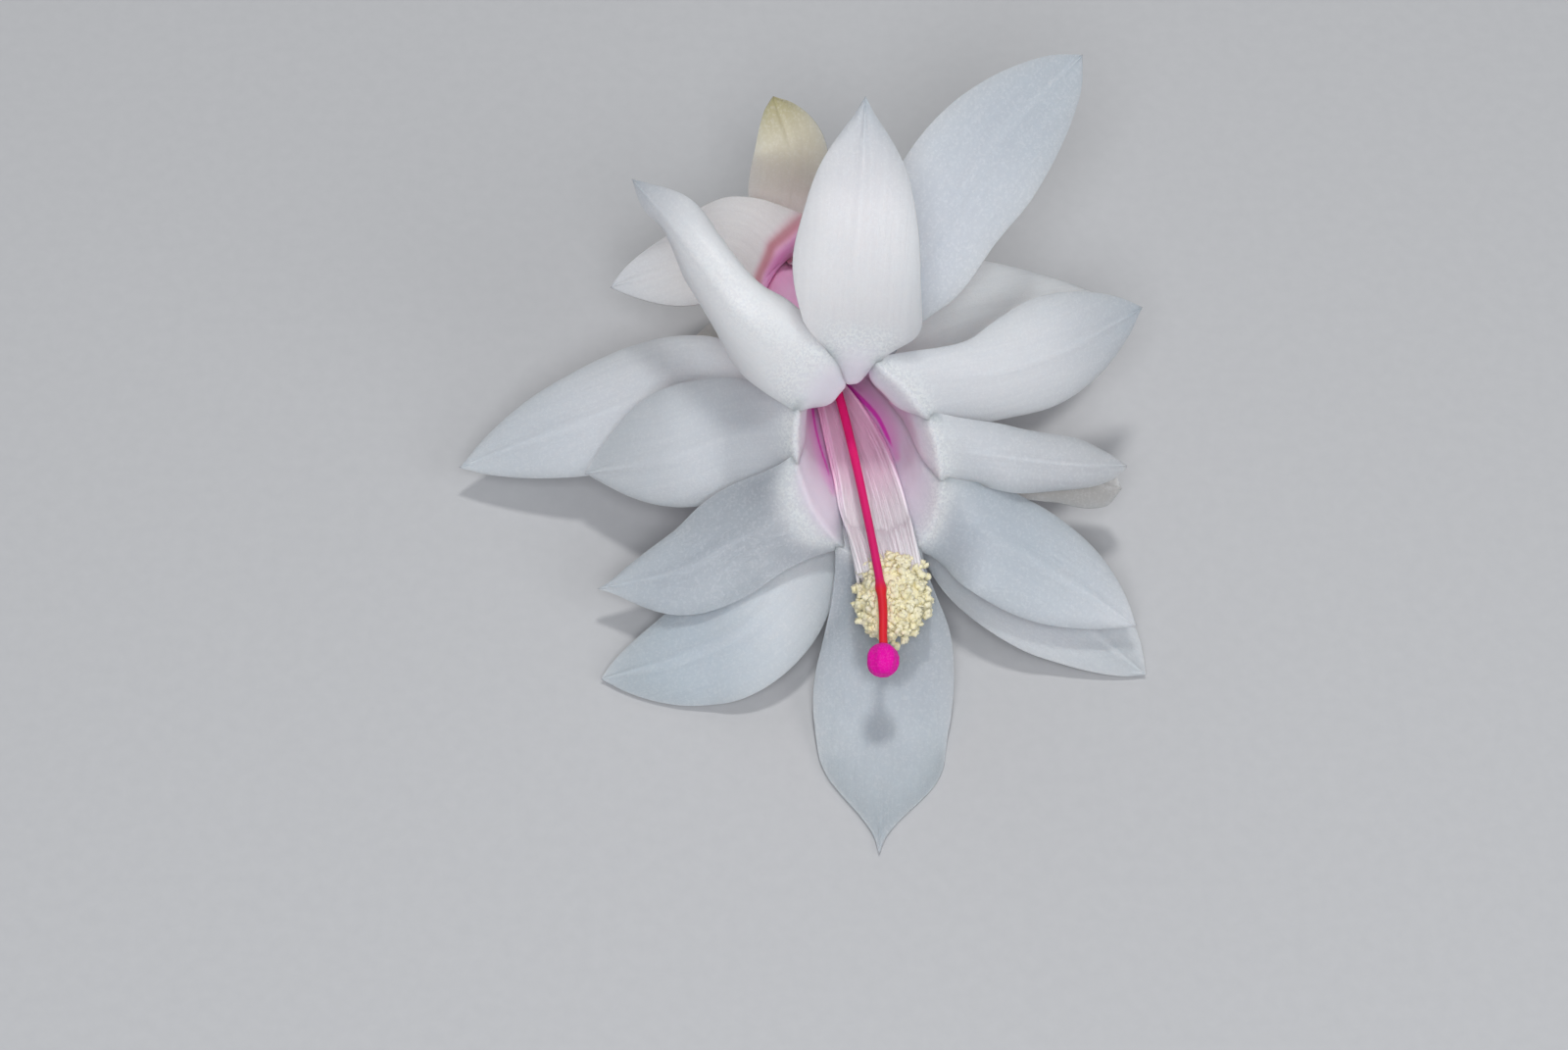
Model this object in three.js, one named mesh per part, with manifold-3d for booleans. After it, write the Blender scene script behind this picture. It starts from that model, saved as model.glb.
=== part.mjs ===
// A picked Christmas cactus bloom, lying on its side with its throat towards the front and up.
//
// Units are millimetres and +Z is up. The bloom lies on the plane z = 0. A floral tube rises
// from the pericarpel at the back to an oblique rim at the front. Long tepals stand round the
// rim, a second layer of them is rooted on the tube's outside, and short ones grow beside the
// pericarpel. The style, the filaments and the anthers reach out of the throat.
import * as THREE from 'three';
import { mergeVertices } from 'three/addons/utils/BufferGeometryUtils.js';
import Module from 'manifold-3d';

const wasm = await Module();
wasm.setup();

// ---------------------------------------------------------------------------------------
// Driving dimensions
// ---------------------------------------------------------------------------------------
const CLEARANCE = 0.3; // between neighbouring solids
const TEPAL_THICKNESS = 0.7;
const TIP_HALF_WIDTH = 0.35;
const BLADE_ROWS = 12; // steps from a tepal's root to its tip
const BLADE_COLUMNS = 6; // steps across a tepal
const TUBE_WALL = 0.8;
const TUBE_SIDES = 20;
const TUBE_STEPS = 12;
const ROOT_BEND = 1.5; // how far before its root a tepal's curve starts
const TUBE_FLOOR = 0.05; // where the tube's closed end begins inside, as a share of its length
const STYLE_RADIUS = 0.4;
const STIGMA_RADIUS = 1.25;
const STIGMA_LOBES = 7;
const STIGMA_RELIEF = 0.07; // how deep its lobes are, as a share of its radius
const STIGMA_LENGTH = 1.12; // its length, as a share of its width
const FILAMENT_COUNT = 14;
const FILAMENT_HALF_WIDTH = 0.22;
const FILAMENT_SPREAD = 0.8; // how much of the anther head's width they reach
const ANTHER_COUNT = 60;
const ANTHER_RADIUS = 0.42;
const ANTHER_CORE = 0.86; // the core's size, as a share of the head
const ANTHER_REACH = [0.9, 1.02]; // how far out the grains sit, as shares of the head
const ANTHER_STRETCH = [1, 1.5]; // how long the grains are, as shares of their width
const RANDOM_SEED = 11;

const point = (x, y, z) => new THREE.Vector3(x, y, z);
const radians = THREE.MathUtils.degToRad;

// The floral tube is a row of ellipses. Each has a centre, a half axis to the right and a half
// axis upwards, both seen by someone who looks into the throat.
const TUBE_RINGS = [
  { centre: point(-6.3, 18.7, 5.0), right: point(2.0, 0.7, 0.0), up: point(-0.2, 0.7, 2.0) },
  { centre: point(-4.1, 12.0, 7.6), right: point(2.2, 0.7, 0.0), up: point(-0.2, 0.8, 2.2) },
  { centre: point(-1.6, 5.4, 9.8), right: point(2.9, 0.8, 0.0), up: point(-0.3, 1.1, 2.9) },
  { centre: point(0.3, -0.4, 11.6), right: point(4.5, 0.6, 0.0), up: point(-0.6, 2.7, 5.0) },
  { centre: point(1.3, -4.9, 12.3), right: point(6.1, 0.2, 0.0), up: point(-1.2, 5.2, 6.9) },
];

// Tepals. `angle` is the place of the root round the tube in degrees: 0 is right and 90 is up.
// `along` is the place of the root from the pericarpel (0) to the rim (1), and `lean` is how
// it leaves the tube: in line with it (0) or square to it (1). `spine` continues from the root
// to the tip. `half` is the half width at its widest, which lies at the share `widest` of the
// length; the root keeps the share `root` of it, and a higher `taper` makes a longer tip.
// `cup` is how far the margins turn up (or, if negative, back) at the root, in the middle and
// at the tip, in degrees. `face` is the way the inner face looks.
const INNER_TEPALS = {
  upper_left_tepal: {
    angle: 128, spine: [point(-7.9, 1.1, 22.8), point(-12.2, 6.2, 24.8), point(-16.8, 12.9, 24.0)],
    half: 3.9, widest: 0.38, root: 0.75, taper: 1.7, cup: [-20, -70, -10], face: point(-0.35, -0.7, 0.8),
  },
  top_tepal: {
    angle: 99, spine: [point(0.2, 2.3, 24.5), point(0.7, 7.2, 29.5), point(1.0, 14.0, 32.5)],
    half: 4.9, widest: 0.42, root: 0.58, taper: 1.25, cup: [15, 18, 10], face: point(0, -0.7, 0.75),
  },
  right_tepal: {
    angle: 41, spine: [point(10.7, 0.0, 16.5), point(16.9, 3.3, 15.5), point(23.0, 9.1, 13.0)],
    half: 4.7, widest: 0.52, root: 0.64, taper: 0.9, cup: [-8, -22, -5], face: point(0.35, -0.7, 0.7),
  },
  lower_right_tepal: {
    angle: 329, spine: [point(11.1, -10.0, 8.5), point(16.9, -12.3, 6.0), point(22.0, -14.8, 3.6)],
    half: 4.5, widest: 0.45, root: 0.62, taper: 1.0, cup: [-5, -20, -8], face: point(0.15, -0.4, 1),
  },
  right_small_tepal: {
    angle: 4, spine: [point(12.2, -4.9, 12.2), point(16.8, -4.9, 10.7), point(21.3, -3.8, 8.0)],
    half: 2.7, widest: 0.4, root: 0.68, taper: 0.9, cup: [-5, -35, -50], face: point(0.35, -0.6, 0.8),
  },
  lower_tepal: {
    angle: 272, spine: [point(2.9, -17.1, 2.3), point(2.5, -24.3, 0.0), point(2.0, -33.2, 0.1)],
    half: 5.6, widest: 0.5, root: 0.62, taper: 1.3, cup: [25, 12, 5], face: point(0, -0.1, 1),
  },
  left_tepal: {
    angle: 200, spine: [point(-8.2, -9.1, 8.0), point(-13.1, -11.2, 6.0), point(-19.6, -11.2, 3.5)],
    half: 4.3, widest: 0.45, root: 0.65, taper: 1.3, cup: [10, -15, 0], face: point(-0.15, -0.5, 1),
  },
  far_left_tepal: {
    angle: 163, spine: [point(-9.3, -1.9, 10.7), point(-14.3, -2.4, 8.6), point(-20.8, -1.6, 5.5)],
    half: 4.7, widest: 0.42, root: 0.62, taper: 1.0, cup: [5, -20, -10], face: point(-0.25, -0.55, 1),
  },
};

const OUTER_TEPALS = {
  lower_left_outer_tepal: {
    angle: 240, along: 0.86,
    spine: [point(-6.9, -14.2, 4.3), point(-12.3, -16.4, 2.2), point(-19.3, -17.6, 0.3)],
    half: 4.8, widest: 0.5, root: 0.6, taper: 0.9, cup: [15, -12, 0], face: point(-0.1, -0.3, 1),
  },
  far_left_outer_tepal: {
    angle: 186, along: 0.66,
    spine: [point(-12.9, 4.6, 8.3), point(-21.4, 2.5, 6.6), point(-31.0, 0.8, 3.0)],
    half: 5.0, widest: 0.48, root: 0.5, taper: 0.9, cup: [5, -15, -5], face: point(-0.2, -0.3, 1),
  },
  top_right_outer_tepal: {
    angle: 68, along: 0.7,
    spine: [point(6.3, 10.3, 20.0), point(11.3, 16.5, 24.0), point(18.2, 24.0, 26.0)],
    half: 5.2, widest: 0.5, root: 0.42, taper: 0.75, cup: [5, 10, 5], face: point(0.05, -0.6, 0.8),
  },
  top_outer_tepal: {
    angle: 112, along: 0.74,
    spine: [point(0.0, 6.4, 21.0), point(-0.3, 9.6, 23.5), point(-1.3, 13.0, 25.6)],
    half: 3.8, widest: 0.45, root: 0.6, taper: 1.0, cup: [10, 15, 10], face: point(-0.1, -0.7, 0.75),
  },
  right_outer_tepal: {
    angle: 36, along: 0.64,
    spine: [point(8.1, 8.5, 12.0), point(13.8, 10.6, 11.2), point(20.0, 13.2, 9.5)],
    half: 3.6, widest: 0.45, root: 0.65, taper: 0.9, cup: [5, 10, 5], face: point(0.05, -0.4, 1),
  },
  right_small_outer_tepal: {
    angle: 354, along: 0.8,
    spine: [point(12.3, -3.0, 8.2), point(17.0, -3.5, 7.0), point(21.0, -4.1, 4.8)],
    half: 2.4, widest: 0.55, root: 0.55, taper: 0.6, cup: [5, 5, 5], face: point(0.1, -0.4, 1),
  },
  lower_right_outer_tepal: {
    angle: 312, along: 0.84,
    spine: [point(11.4, -10.2, 4.4), point(17.6, -13.2, 2.2), point(22.9, -17.2, 0.3)],
    half: 4.6, widest: 0.5, root: 0.55, taper: 0.9, cup: [5, 5, 5], face: point(0, -0.2, 1),
  },
};

const BASAL_TEPALS = {
  basal_top_tepal: {
    angle: 100, along: 0.1, lean: 0.85,
    spine: [point(-4.9, 20.8, 12.2), point(-4.6, 22.6, 16.4), point(-6.0, 25.9, 19.0)],
    half: 3.3, widest: 0.55, root: 0.6, taper: 0.8, cup: [25, 25, 10], face: point(0, -0.85, 0.55),
  },
  basal_left_tepal: {
    angle: 165, along: 0.12, lean: 0.85,
    spine: [point(-10.4, 17.6, 9.4), point(-15.0, 15.2, 10.2), point(-19.1, 14.5, 8.8)],
    half: 3.9, widest: 0.35, root: 0.85, taper: 0.85, cup: [30, 40, 25], face: point(-0.1, -0.55, 1),
  },
  basal_right_tepal: {
    angle: 25, along: 0.12, lean: 0.85,
    spine: [point(-0.5, 18.3, 7.8), point(3.4, 18.8, 8.0), point(7.6, 19.8, 6.4)],
    half: 3.0, widest: 0.42, root: 0.7, taper: 0.85, cup: [20, 25, 10], face: point(0.1, -0.5, 1),
  },
  basal_lower_left_tepal: {
    angle: 222, along: 0.12, lean: 0.85,
    spine: [point(-9.6, 13.6, 1.9), point(-12.4, 10.4, 0.3), point(-15.6, 7.0, 0.3)],
    half: 3.0, widest: 0.45, root: 0.7, taper: 0.85, cup: [15, 10, 5], face: point(0, 0.1, 1),
  },
  basal_lower_right_tepal: {
    angle: 318, along: 0.12, lean: 0.85,
    spine: [point(-1.0, 14.0, 1.9), point(2.0, 11.2, 0.3), point(5.4, 8.2, 0.3)],
    half: 3.0, widest: 0.45, root: 0.7, taper: 0.85, cup: [15, 10, 5], face: point(0, 0.1, 1),
  },
};

// The style runs from the tube's floor out of the throat. The stigma sits on its end.
const STYLE_PATH = [
  point(-5.6, 16.7, 5.8), point(-3.9, 11.6, 7.7), point(-1.4, 3.6, 10.3),
  point(1.8, -13.3, 9.3), point(2.2, -19.1, 8.4),
];
const STIGMA_CENTRE = point(2.3, -20.8, 8.0);

// The anthers form one loose head just outside the rim, and the filaments lead to it.
const ANTHER_HEAD = { centre: point(3.1, -14.2, 6.8), half: point(2.7, 3.6, 2.1) };
const FILAMENT_ROOTS = { along: 0.56, from: 195, to: 345 };
const FILAMENT_MIDDLE = { along: 0.84, from: 222, to: 318, rise: 1.2 };
const FILAMENT_BAND = { thickness: 0.6, start: 0.51, end: 0.59, overhang: 8, steps: 10 };

// The pericarpel (the young fruit) leads down from the tube's closed end to the surface.
const PERICARPEL_PATH = [
  point(-6.6, 19.4, 4.6), point(-7.0, 20.4, 3.6), point(-7.5, 21.7, 2.3), point(-7.9, 22.9, 1.5),
];
const PERICARPEL_RADII = [2.1, 2.5, 2.4, 1.5];
const PERICARPEL_ANGLES = 5; // its soft ridges
const PERICARPEL_RIDGE = 0.04;

const MATERIALS = {
  petal: { color: 0xd9dde8, roughness: 0.6 },
  basal: { color: 0xd6cbb2, roughness: 0.6 },
  tube: { color: 0xe3a9c8, roughness: 0.5 },
  green: { color: 0x7d8a52, roughness: 0.6 },
  crimson: { color: 0xc0184e, roughness: 0.35 },
  magenta: { color: 0xe01ea2, roughness: 0.5 },
  filament: { color: 0xecdde6, roughness: 0.5 },
  anther: { color: 0xebe2b0, roughness: 0.9 },
};

// ---------------------------------------------------------------------------------------
// Solids
// ---------------------------------------------------------------------------------------

/** A closed skin through rings of points, with a flat strip across its first and last ring. */
function loft(rings) {
  const count = rings[0].length;
  const positions = rings.flat().flatMap((p) => p.toArray());
  const index = [];
  for (let row = 0; row < rings.length - 1; row += 1) {
    for (let k = 0; k < count; k += 1) {
      const a = row * count + k;
      const b = row * count + ((k + 1) % count);
      // The second half of a ring is split the other way, so both faces of a blade match.
      if (k < count / 2) index.push(a, b, b + count, a, b + count, a + count);
      else index.push(a, b, a + count, b, b + count, a + count);
    }
  }
  const last = (rings.length - 1) * count;
  for (let k = 0; k < count / 2 - 1; k += 1) {
    const [a, b, c, d] = [k, k + 1, count - 2 - k, count - 1 - k];
    index.push(a, d, c, a, c, b);
    index.push(last + a, last + b, last + c, last + a, last + c, last + d);
  }
  return facingOut(positions, index);
}

/** The geometry of these triangles, turned inside out where their volume is negative. */
function facingOut(positions, index) {
  const [a, b, c] = [point(), point(), point()];
  let volume = 0;
  for (let i = 0; i < index.length; i += 3) {
    a.fromArray(positions, 3 * index[i]);
    b.fromArray(positions, 3 * index[i + 1]);
    c.fromArray(positions, 3 * index[i + 2]);
    volume += a.dot(b.cross(c));
  }
  const geometry = new THREE.BufferGeometry();
  geometry.setAttribute('position', new THREE.Float32BufferAttribute(positions, 3));
  geometry.setIndex(volume < 0 ? index.toReversed() : index);
  return geometry;
}

/** The solid of a closed geometry, ready to be joined and cut. */
function toSolid(geometry) {
  geometry.deleteAttribute('normal');
  geometry.deleteAttribute('uv');
  const merged = mergeVertices(geometry);
  return new wasm.Manifold(new wasm.Mesh({
    numProp: 3,
    vertProperties: new Float32Array(merged.attributes.position.array),
    triVerts: new Uint32Array(merged.index.array),
  }));
}

/** The geometry of a solid, kept to its largest body. */
function toGeometry(solid) {
  const bodies = solid.decompose().sort((a, b) => b.volume() - a.volume());
  const { numProp, vertProperties, triVerts } = bodies[0].getMesh();
  const positions = Array.from({ length: vertProperties.length / numProp },
    (_, i) => [...vertProperties.slice(i * numProp, i * numProp + 3)]).flat();
  const geometry = new THREE.BufferGeometry();
  geometry.setAttribute('position', new THREE.Float32BufferAttribute(positions, 3));
  geometry.setIndex([...triVerts]);
  return geometry;
}

const union = (solids) => solids.reduce((whole, solid) => whole.add(solid));

/** A seeded source of numbers from 0 to 1. */
function seeded(seed) {
  let state = seed;
  return () => {
    state = (Math.imul(state, 1664525) + 1013904223) >>> 0;
    return state / 2 ** 32;
  };
}

/** A round rod along a path. `radius` is a function of the share of the path. */
function rod(path, radius, sides, steps) {
  const curve = new THREE.CatmullRomCurve3(path, false, 'catmullrom', 0.5);
  const rings = Array.from({ length: steps + 1 }, (_, i) => {
    const share = i / steps;
    const centre = curve.getPoint(share);
    const tangent = curve.getTangent(share);
    const right = point(1, 0, 0).addScaledVector(tangent, -tangent.x).normalize();
    const up = right.clone().cross(tangent);
    return Array.from({ length: sides }, (_, k) => {
      const turn = (2 * Math.PI * (k + 0.5)) / sides;
      const reach = radius(share, turn);
      return centre.clone().addScaledVector(right, reach * Math.cos(turn))
        .addScaledVector(up, reach * Math.sin(turn));
    });
  });
  return loft(rings);
}

// ---------------------------------------------------------------------------------------
// The floral tube
// ---------------------------------------------------------------------------------------
const tubeCurve = (part) => new THREE.CatmullRomCurve3(
  TUBE_RINGS.map((ring) => ring[part]), false, 'catmullrom', 0.5,
);
const TUBE = { centre: tubeCurve('centre'), right: tubeCurve('right'), up: tubeCurve('up') };

/** A point on the middle of the tube's wall. */
function tubePoint(along, turn) {
  return TUBE.centre.getPoint(along)
    .addScaledVector(TUBE.right.getPoint(along), Math.cos(turn))
    .addScaledVector(TUBE.up.getPoint(along), Math.sin(turn));
}

/** The tube wall's outward normal. */
function tubeNormal(along, turn) {
  const step = 0.01;
  const [before, after] = [Math.max(along - step, 0), Math.min(along + step, 1)];
  const lengthwise = tubePoint(after, turn).sub(tubePoint(before, turn));
  const crosswise = tubePoint(along, turn + step).sub(tubePoint(along, turn - step));
  return crosswise.cross(lengthwise).normalize();
}

/** The way that the ring at this place looks, out of the throat. */
const tubeForward = (along) => TUBE.right.getPoint(along).cross(TUBE.up.getPoint(along)).normalize();

const besideTube = (along, turn, offset) => tubePoint(along, turn)
  .addScaledVector(tubeNormal(along, turn), offset);

/** The tube's wall, larger by `grow`: out along its outside, over the rim and back inside. */
function tubeGeometry(grow = 0) {
  const half = TUBE_WALL / 2 + grow;
  const ring = (along, offset, ahead = 0) => Array.from({ length: TUBE_SIDES },
    (_, k) => besideTube(along, (2 * Math.PI * (k + 0.5)) / TUBE_SIDES, offset)
      .addScaledVector(tubeForward(along), ahead));
  const outside = Array.from({ length: TUBE_STEPS + 1 }, (_, i) => ring(i / TUBE_STEPS, half));
  const inside = Array.from({ length: TUBE_STEPS + 1 }, (_, i) => ring(
    THREE.MathUtils.lerp(1, TUBE_FLOOR, i / TUBE_STEPS), -half,
  ));
  const lip = grow > 0 ? [ring(1, half, grow), ring(1, -half, grow)] : [];
  return loft([...outside, ...lip, ...inside]);
}

// ---------------------------------------------------------------------------------------
// Tepals
// ---------------------------------------------------------------------------------------

/** The curve through 0, 0.5 and 1 with these three values. */
const throughThree = ([a, b, c], t) => a * (1 - t) * (1 - 2 * t) + 4 * b * t * (1 - t)
  + c * t * (2 * t - 1);

/** Half the width: a sine from the root to the widest place, then a rounded or long tip. */
function halfWidth({ half, widest, root, taper }, t) {
  if (t < widest) return half * (root + (1 - root) * Math.sin((Math.PI / 2) * (t / widest)));
  const u = (t - widest) / (1 - widest);
  return Math.max(half * (1 - u * u) ** taper, TIP_HALF_WIDTH);
}

/** The spine of a tepal. It starts inside its root, so it leaves the tube bent outwards. */
function tepalSpine({ angle, along = 1, lean = 0.5, spine }) {
  const turn = radians(angle);
  const outside = along < 1 ? TUBE_WALL / 2 + CLEARANCE + TEPAL_THICKNESS / 2 : 0;
  const outward = tubeNormal(along, turn);
  const forward = tubeForward(along);
  const root = besideTube(along, turn, outside);
  if (along === 1) root.addScaledVector(forward, CLEARANCE);
  const leaving = forward.clone().lerp(outward, lean).normalize();
  const before = root.clone().addScaledVector(leaving, -ROOT_BEND);
  return {
    curve: new THREE.CatmullRomCurve3([before, root, ...spine], false, 'catmullrom', 0.5),
    rootFace: outward.clone().negate().lerp(forward, lean),
  };
}

/** A tepal's solid: an arched cross-section carried along the spine. */
function tepalGeometry(tepal, grow = 0) {
  const { curve, rootFace } = tepalSpine(tepal);
  const thickness = TEPAL_THICKNESS / 2 + grow;
  const rings = Array.from({ length: BLADE_ROWS + 1 }, (_, row) => {
    const t = row / BLADE_ROWS;
    const share = (1 + 3 * t) / 4; // the first quarter of the spine is inside the root
    const centre = curve.getPoint(share);
    const tangent = curve.getTangent(share);
    const face = rootFace.clone().lerp(tepal.face, THREE.MathUtils.smoothstep(t, 0, 0.4));
    face.addScaledVector(tangent, -face.dot(tangent)).normalize();
    const side = tangent.clone().cross(face);
    const arch = radians(throughThree(tepal.cup, t)) || 1e-3;
    const radius = (halfWidth(tepal, t) + grow) / arch;
    const section = (offset) => Array.from({ length: BLADE_COLUMNS + 1 }, (_, k) => {
      const a = arch * ((2 * k) / BLADE_COLUMNS - 1);
      return centre.clone()
        .addScaledVector(side, (radius - offset) * Math.sin(a))
        .addScaledVector(face, radius - (radius - offset) * Math.cos(a));
    });
    const inner = section(thickness).map((p) => pressed(p, TEPAL_THICKNESS));
    const outer = section(-thickness).map((p) => pressed(p, 0));
    return [...inner, ...outer.reverse()];
  });
  return loft(rings);
}

/** A point of the bloom lifted to the surface that it lies on. */
function pressed(p, height) {
  return p.setZ(Math.max(p.z, height));
}

// ---------------------------------------------------------------------------------------
// Style, stigma, filaments, anthers and pericarpel
// ---------------------------------------------------------------------------------------
const styleGeometry = (grow = 0) => rod(STYLE_PATH, () => STYLE_RADIUS + grow, 8, 18);

/** The stigma: a ball with lobes along it, on the style's last direction. */
function stigmaGeometry() {
  const axis = STIGMA_CENTRE.clone().sub(STYLE_PATH.at(-1)).normalize();
  const right = point(1, 0, 0).addScaledVector(axis, -axis.x).normalize();
  const up = right.clone().cross(axis);
  const [rows, sides] = [9, 4 * STIGMA_LOBES];
  const rings = Array.from({ length: rows + 1 }, (_, i) => {
    const polar = Math.PI * (0.04 + 0.92 * (i / rows));
    return Array.from({ length: sides }, (_, k) => {
      const turn = (2 * Math.PI * k) / sides;
      const reach = STIGMA_RADIUS * Math.sin(polar) * (1 + STIGMA_RELIEF * Math.cos(STIGMA_LOBES * turn));
      return STIGMA_CENTRE.clone()
        .addScaledVector(axis, -STIGMA_LENGTH * STIGMA_RADIUS * Math.cos(polar))
        .addScaledVector(right, reach * Math.cos(turn))
        .addScaledVector(up, reach * Math.sin(turn));
    });
  });
  return loft(rings);
}

/** The anther head: a small core, and grains spread over it by the golden angle. */
function antherSolid(grow = 0) {
  const { centre, half } = ANTHER_HEAD;
  const random = seeded(RANDOM_SEED);
  const ball = (radius, detail, place, stretch) => {
    const geometry = new THREE.IcosahedronGeometry(radius, detail);
    geometry.scale(...stretch.toArray());
    geometry.translate(...place.toArray());
    return toSolid(geometry);
  };
  const core = ball(1, 1, centre, half.clone().multiplyScalar(ANTHER_CORE).addScalar(grow));
  const golden = Math.PI * (3 - Math.sqrt(5));
  const grains = Array.from({ length: ANTHER_COUNT }, (_, i) => {
    const height = 1 - (2 * (i + 0.5)) / ANTHER_COUNT;
    const ring = Math.sqrt(1 - height * height);
    const reach = THREE.MathUtils.lerp(...ANTHER_REACH, random());
    const place = point(ring * Math.cos(golden * i), height, ring * Math.sin(golden * i))
      .multiply(half).multiplyScalar(reach).add(centre);
    const stretch = THREE.MathUtils.lerp(...ANTHER_STRETCH, random());
    return ball(ANTHER_RADIUS + grow, 0, place, point(1, stretch, 1));
  });
  return union([core, ...grains]);
}

/** The filaments: slim rods that leave one band on the tube's inside and meet at the anthers. */
function filamentSolid() {
  const { along, from, to } = FILAMENT_ROOTS;
  const depth = -(TUBE_WALL / 2 + CLEARANCE);
  const { thickness, start, end: stop, overhang, steps } = FILAMENT_BAND;
  const inside = depth - thickness;
  const band = Array.from({ length: steps + 1 }, (_, i) => {
    const turn = radians(THREE.MathUtils.lerp(from - overhang, to + overhang, i / steps));
    return [[start, depth], [start, inside], [stop, inside], [stop, depth]].map(
      ([place, offset]) => besideTube(place, turn, offset),
    );
  });
  const random = seeded(RANDOM_SEED + 1);
  const rods = Array.from({ length: FILAMENT_COUNT }, (_, i) => {
    const share = (i + 0.5) / FILAMENT_COUNT;
    const root = besideTube(
      along, radians(THREE.MathUtils.lerp(from, to, share)), depth - thickness / 2,
    );
    const rise = thickness + FILAMENT_MIDDLE.rise * random();
    const middle = besideTube(
      FILAMENT_MIDDLE.along,
      radians(THREE.MathUtils.lerp(FILAMENT_MIDDLE.from, FILAMENT_MIDDLE.to, share)),
      depth - rise,
    );
    const end = ANTHER_HEAD.centre.clone()
      .add(point(FILAMENT_SPREAD * (2 * share - 1), 0.5, random() - 0.5).multiply(ANTHER_HEAD.half));
    return toSolid(rod([root, middle, end], () => FILAMENT_HALF_WIDTH * Math.SQRT2, 4, 4));
  });
  return union([toSolid(loft(band)), ...rods]);
}

/** The pericarpel, with soft ridges and its lower side pressed flat on the surface. */
function pericarpelGeometry(grow = 0) {
  const radii = new THREE.CatmullRomCurve3(
    PERICARPEL_RADII.map((r) => point(r, 0, 0)), false, 'catmullrom', 0.5,
  );
  const geometry = rod(PERICARPEL_PATH, (share, turn) => grow + radii.getPoint(share).x
    * (1 + PERICARPEL_RIDGE * Math.cos(PERICARPEL_ANGLES * turn)), 20, 8);
  const { position } = geometry.attributes;
  for (let i = 0; i < position.count; i += 1) position.setZ(i, Math.max(position.getZ(i), 0));
  return geometry;
}

// ---------------------------------------------------------------------------------------
// The bloom
// ---------------------------------------------------------------------------------------
const bloom = new THREE.Group();

function addPart(name, geometry, finish) {
  const mesh = new THREE.Mesh(geometry, new THREE.MeshStandardMaterial(MATERIALS[finish]));
  mesh.name = name;
  bloom.add(mesh);
}

// The anthers and the filaments give way to the style, and to the tepal that they lie on.
const clearOf = [styleGeometry(CLEARANCE), tepalGeometry(INNER_TEPALS.lower_tepal, CLEARANCE)];
const cleared = (solid) => clearOf.reduce((rest, other) => rest.subtract(toSolid(other)), solid);

addPart('pericarpel', pericarpelGeometry(), 'green');
addPart('floral_tube', tubeGeometry(), 'tube');
addPart('style', styleGeometry(), 'crimson');
addPart('stigma', stigmaGeometry(), 'magenta');
addPart('anthers', toGeometry(cleared(antherSolid())), 'anther');
addPart('filaments', toGeometry(cleared(filamentSolid().subtract(antherSolid(CLEARANCE)))), 'filament');

// Each tepal gives way to the tube and to the tepals that lie on it, which come before it.
const earlier = [toSolid(tubeGeometry(CLEARANCE)), toSolid(pericarpelGeometry(CLEARANCE))];
const whorls = [[INNER_TEPALS, 'petal'], [OUTER_TEPALS, 'petal'], [BASAL_TEPALS, 'basal']];
for (const [tepals, finish] of whorls) {
  for (const [name, tepal] of Object.entries(tepals)) {
    const solid = earlier.reduce((rest, other) => rest.subtract(other), toSolid(tepalGeometry(tepal)));
    addPart(name, toGeometry(solid), finish);
    earlier.push(toSolid(tepalGeometry(tepal, CLEARANCE)));
  }
}

// The origin is under the middle of the bloom, on the surface that it lies on.
const middle = new THREE.Box3().setFromObject(bloom).getCenter(point());
bloom.position.set(-middle.x, -middle.y, 0);

const part = new THREE.Group();
part.add(bloom);
part.updateMatrixWorld(true);

export default part;
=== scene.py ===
"""The finished look of a picked Christmas cactus bloom that lies on its side on a pale floor."""

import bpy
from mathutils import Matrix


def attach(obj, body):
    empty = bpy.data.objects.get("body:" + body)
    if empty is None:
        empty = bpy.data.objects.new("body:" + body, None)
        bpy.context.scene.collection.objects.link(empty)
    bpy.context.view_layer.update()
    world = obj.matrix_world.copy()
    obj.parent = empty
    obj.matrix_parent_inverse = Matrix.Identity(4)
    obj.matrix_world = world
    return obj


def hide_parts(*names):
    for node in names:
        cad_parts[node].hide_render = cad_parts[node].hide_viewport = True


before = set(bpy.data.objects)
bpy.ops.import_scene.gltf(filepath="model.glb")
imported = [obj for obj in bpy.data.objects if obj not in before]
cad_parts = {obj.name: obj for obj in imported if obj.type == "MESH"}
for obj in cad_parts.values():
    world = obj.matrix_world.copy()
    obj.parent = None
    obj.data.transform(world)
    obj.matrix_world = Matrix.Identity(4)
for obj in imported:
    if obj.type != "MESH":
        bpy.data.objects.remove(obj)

from types import SimpleNamespace

import bpy
import numpy as np
from mathutils import Vector

bl_info = {
    "name": "Picked cactus bloom",
    "version": (1, 0, 0),
    "blender": (4, 5, 0),
    "location": "View3D > Sidebar > Bloom",
    "description": "Tepals, throat, style, filaments and anthers of a Christmas cactus bloom",
    "category": "Object",
}

MM = 0.001  # the shapes below are worked out in millimetres
SHIFT = np.array([3.933, 3.525, 0.0])  # puts the origin under the middle of the bloom
TUBE_WALL = 0.8
INNER_WALL = -TUBE_WALL / 2  # from the middle of the wall
CLEARANCE = 0.3  # between a piece and the tube that carries it
SOLID_THICKNESS = 0.7  # of a tepal's solid, which sets where its root stands
ROOT_BEND = 1.5  # how far before its root a tepal's curve starts
PATH_STEP = 1e-3  # the share of a path over which its direction is taken
WALL_STEP = 0.01  # the same for the tube's wall, along it and round it

# --- The shape's own figures ---

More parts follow.
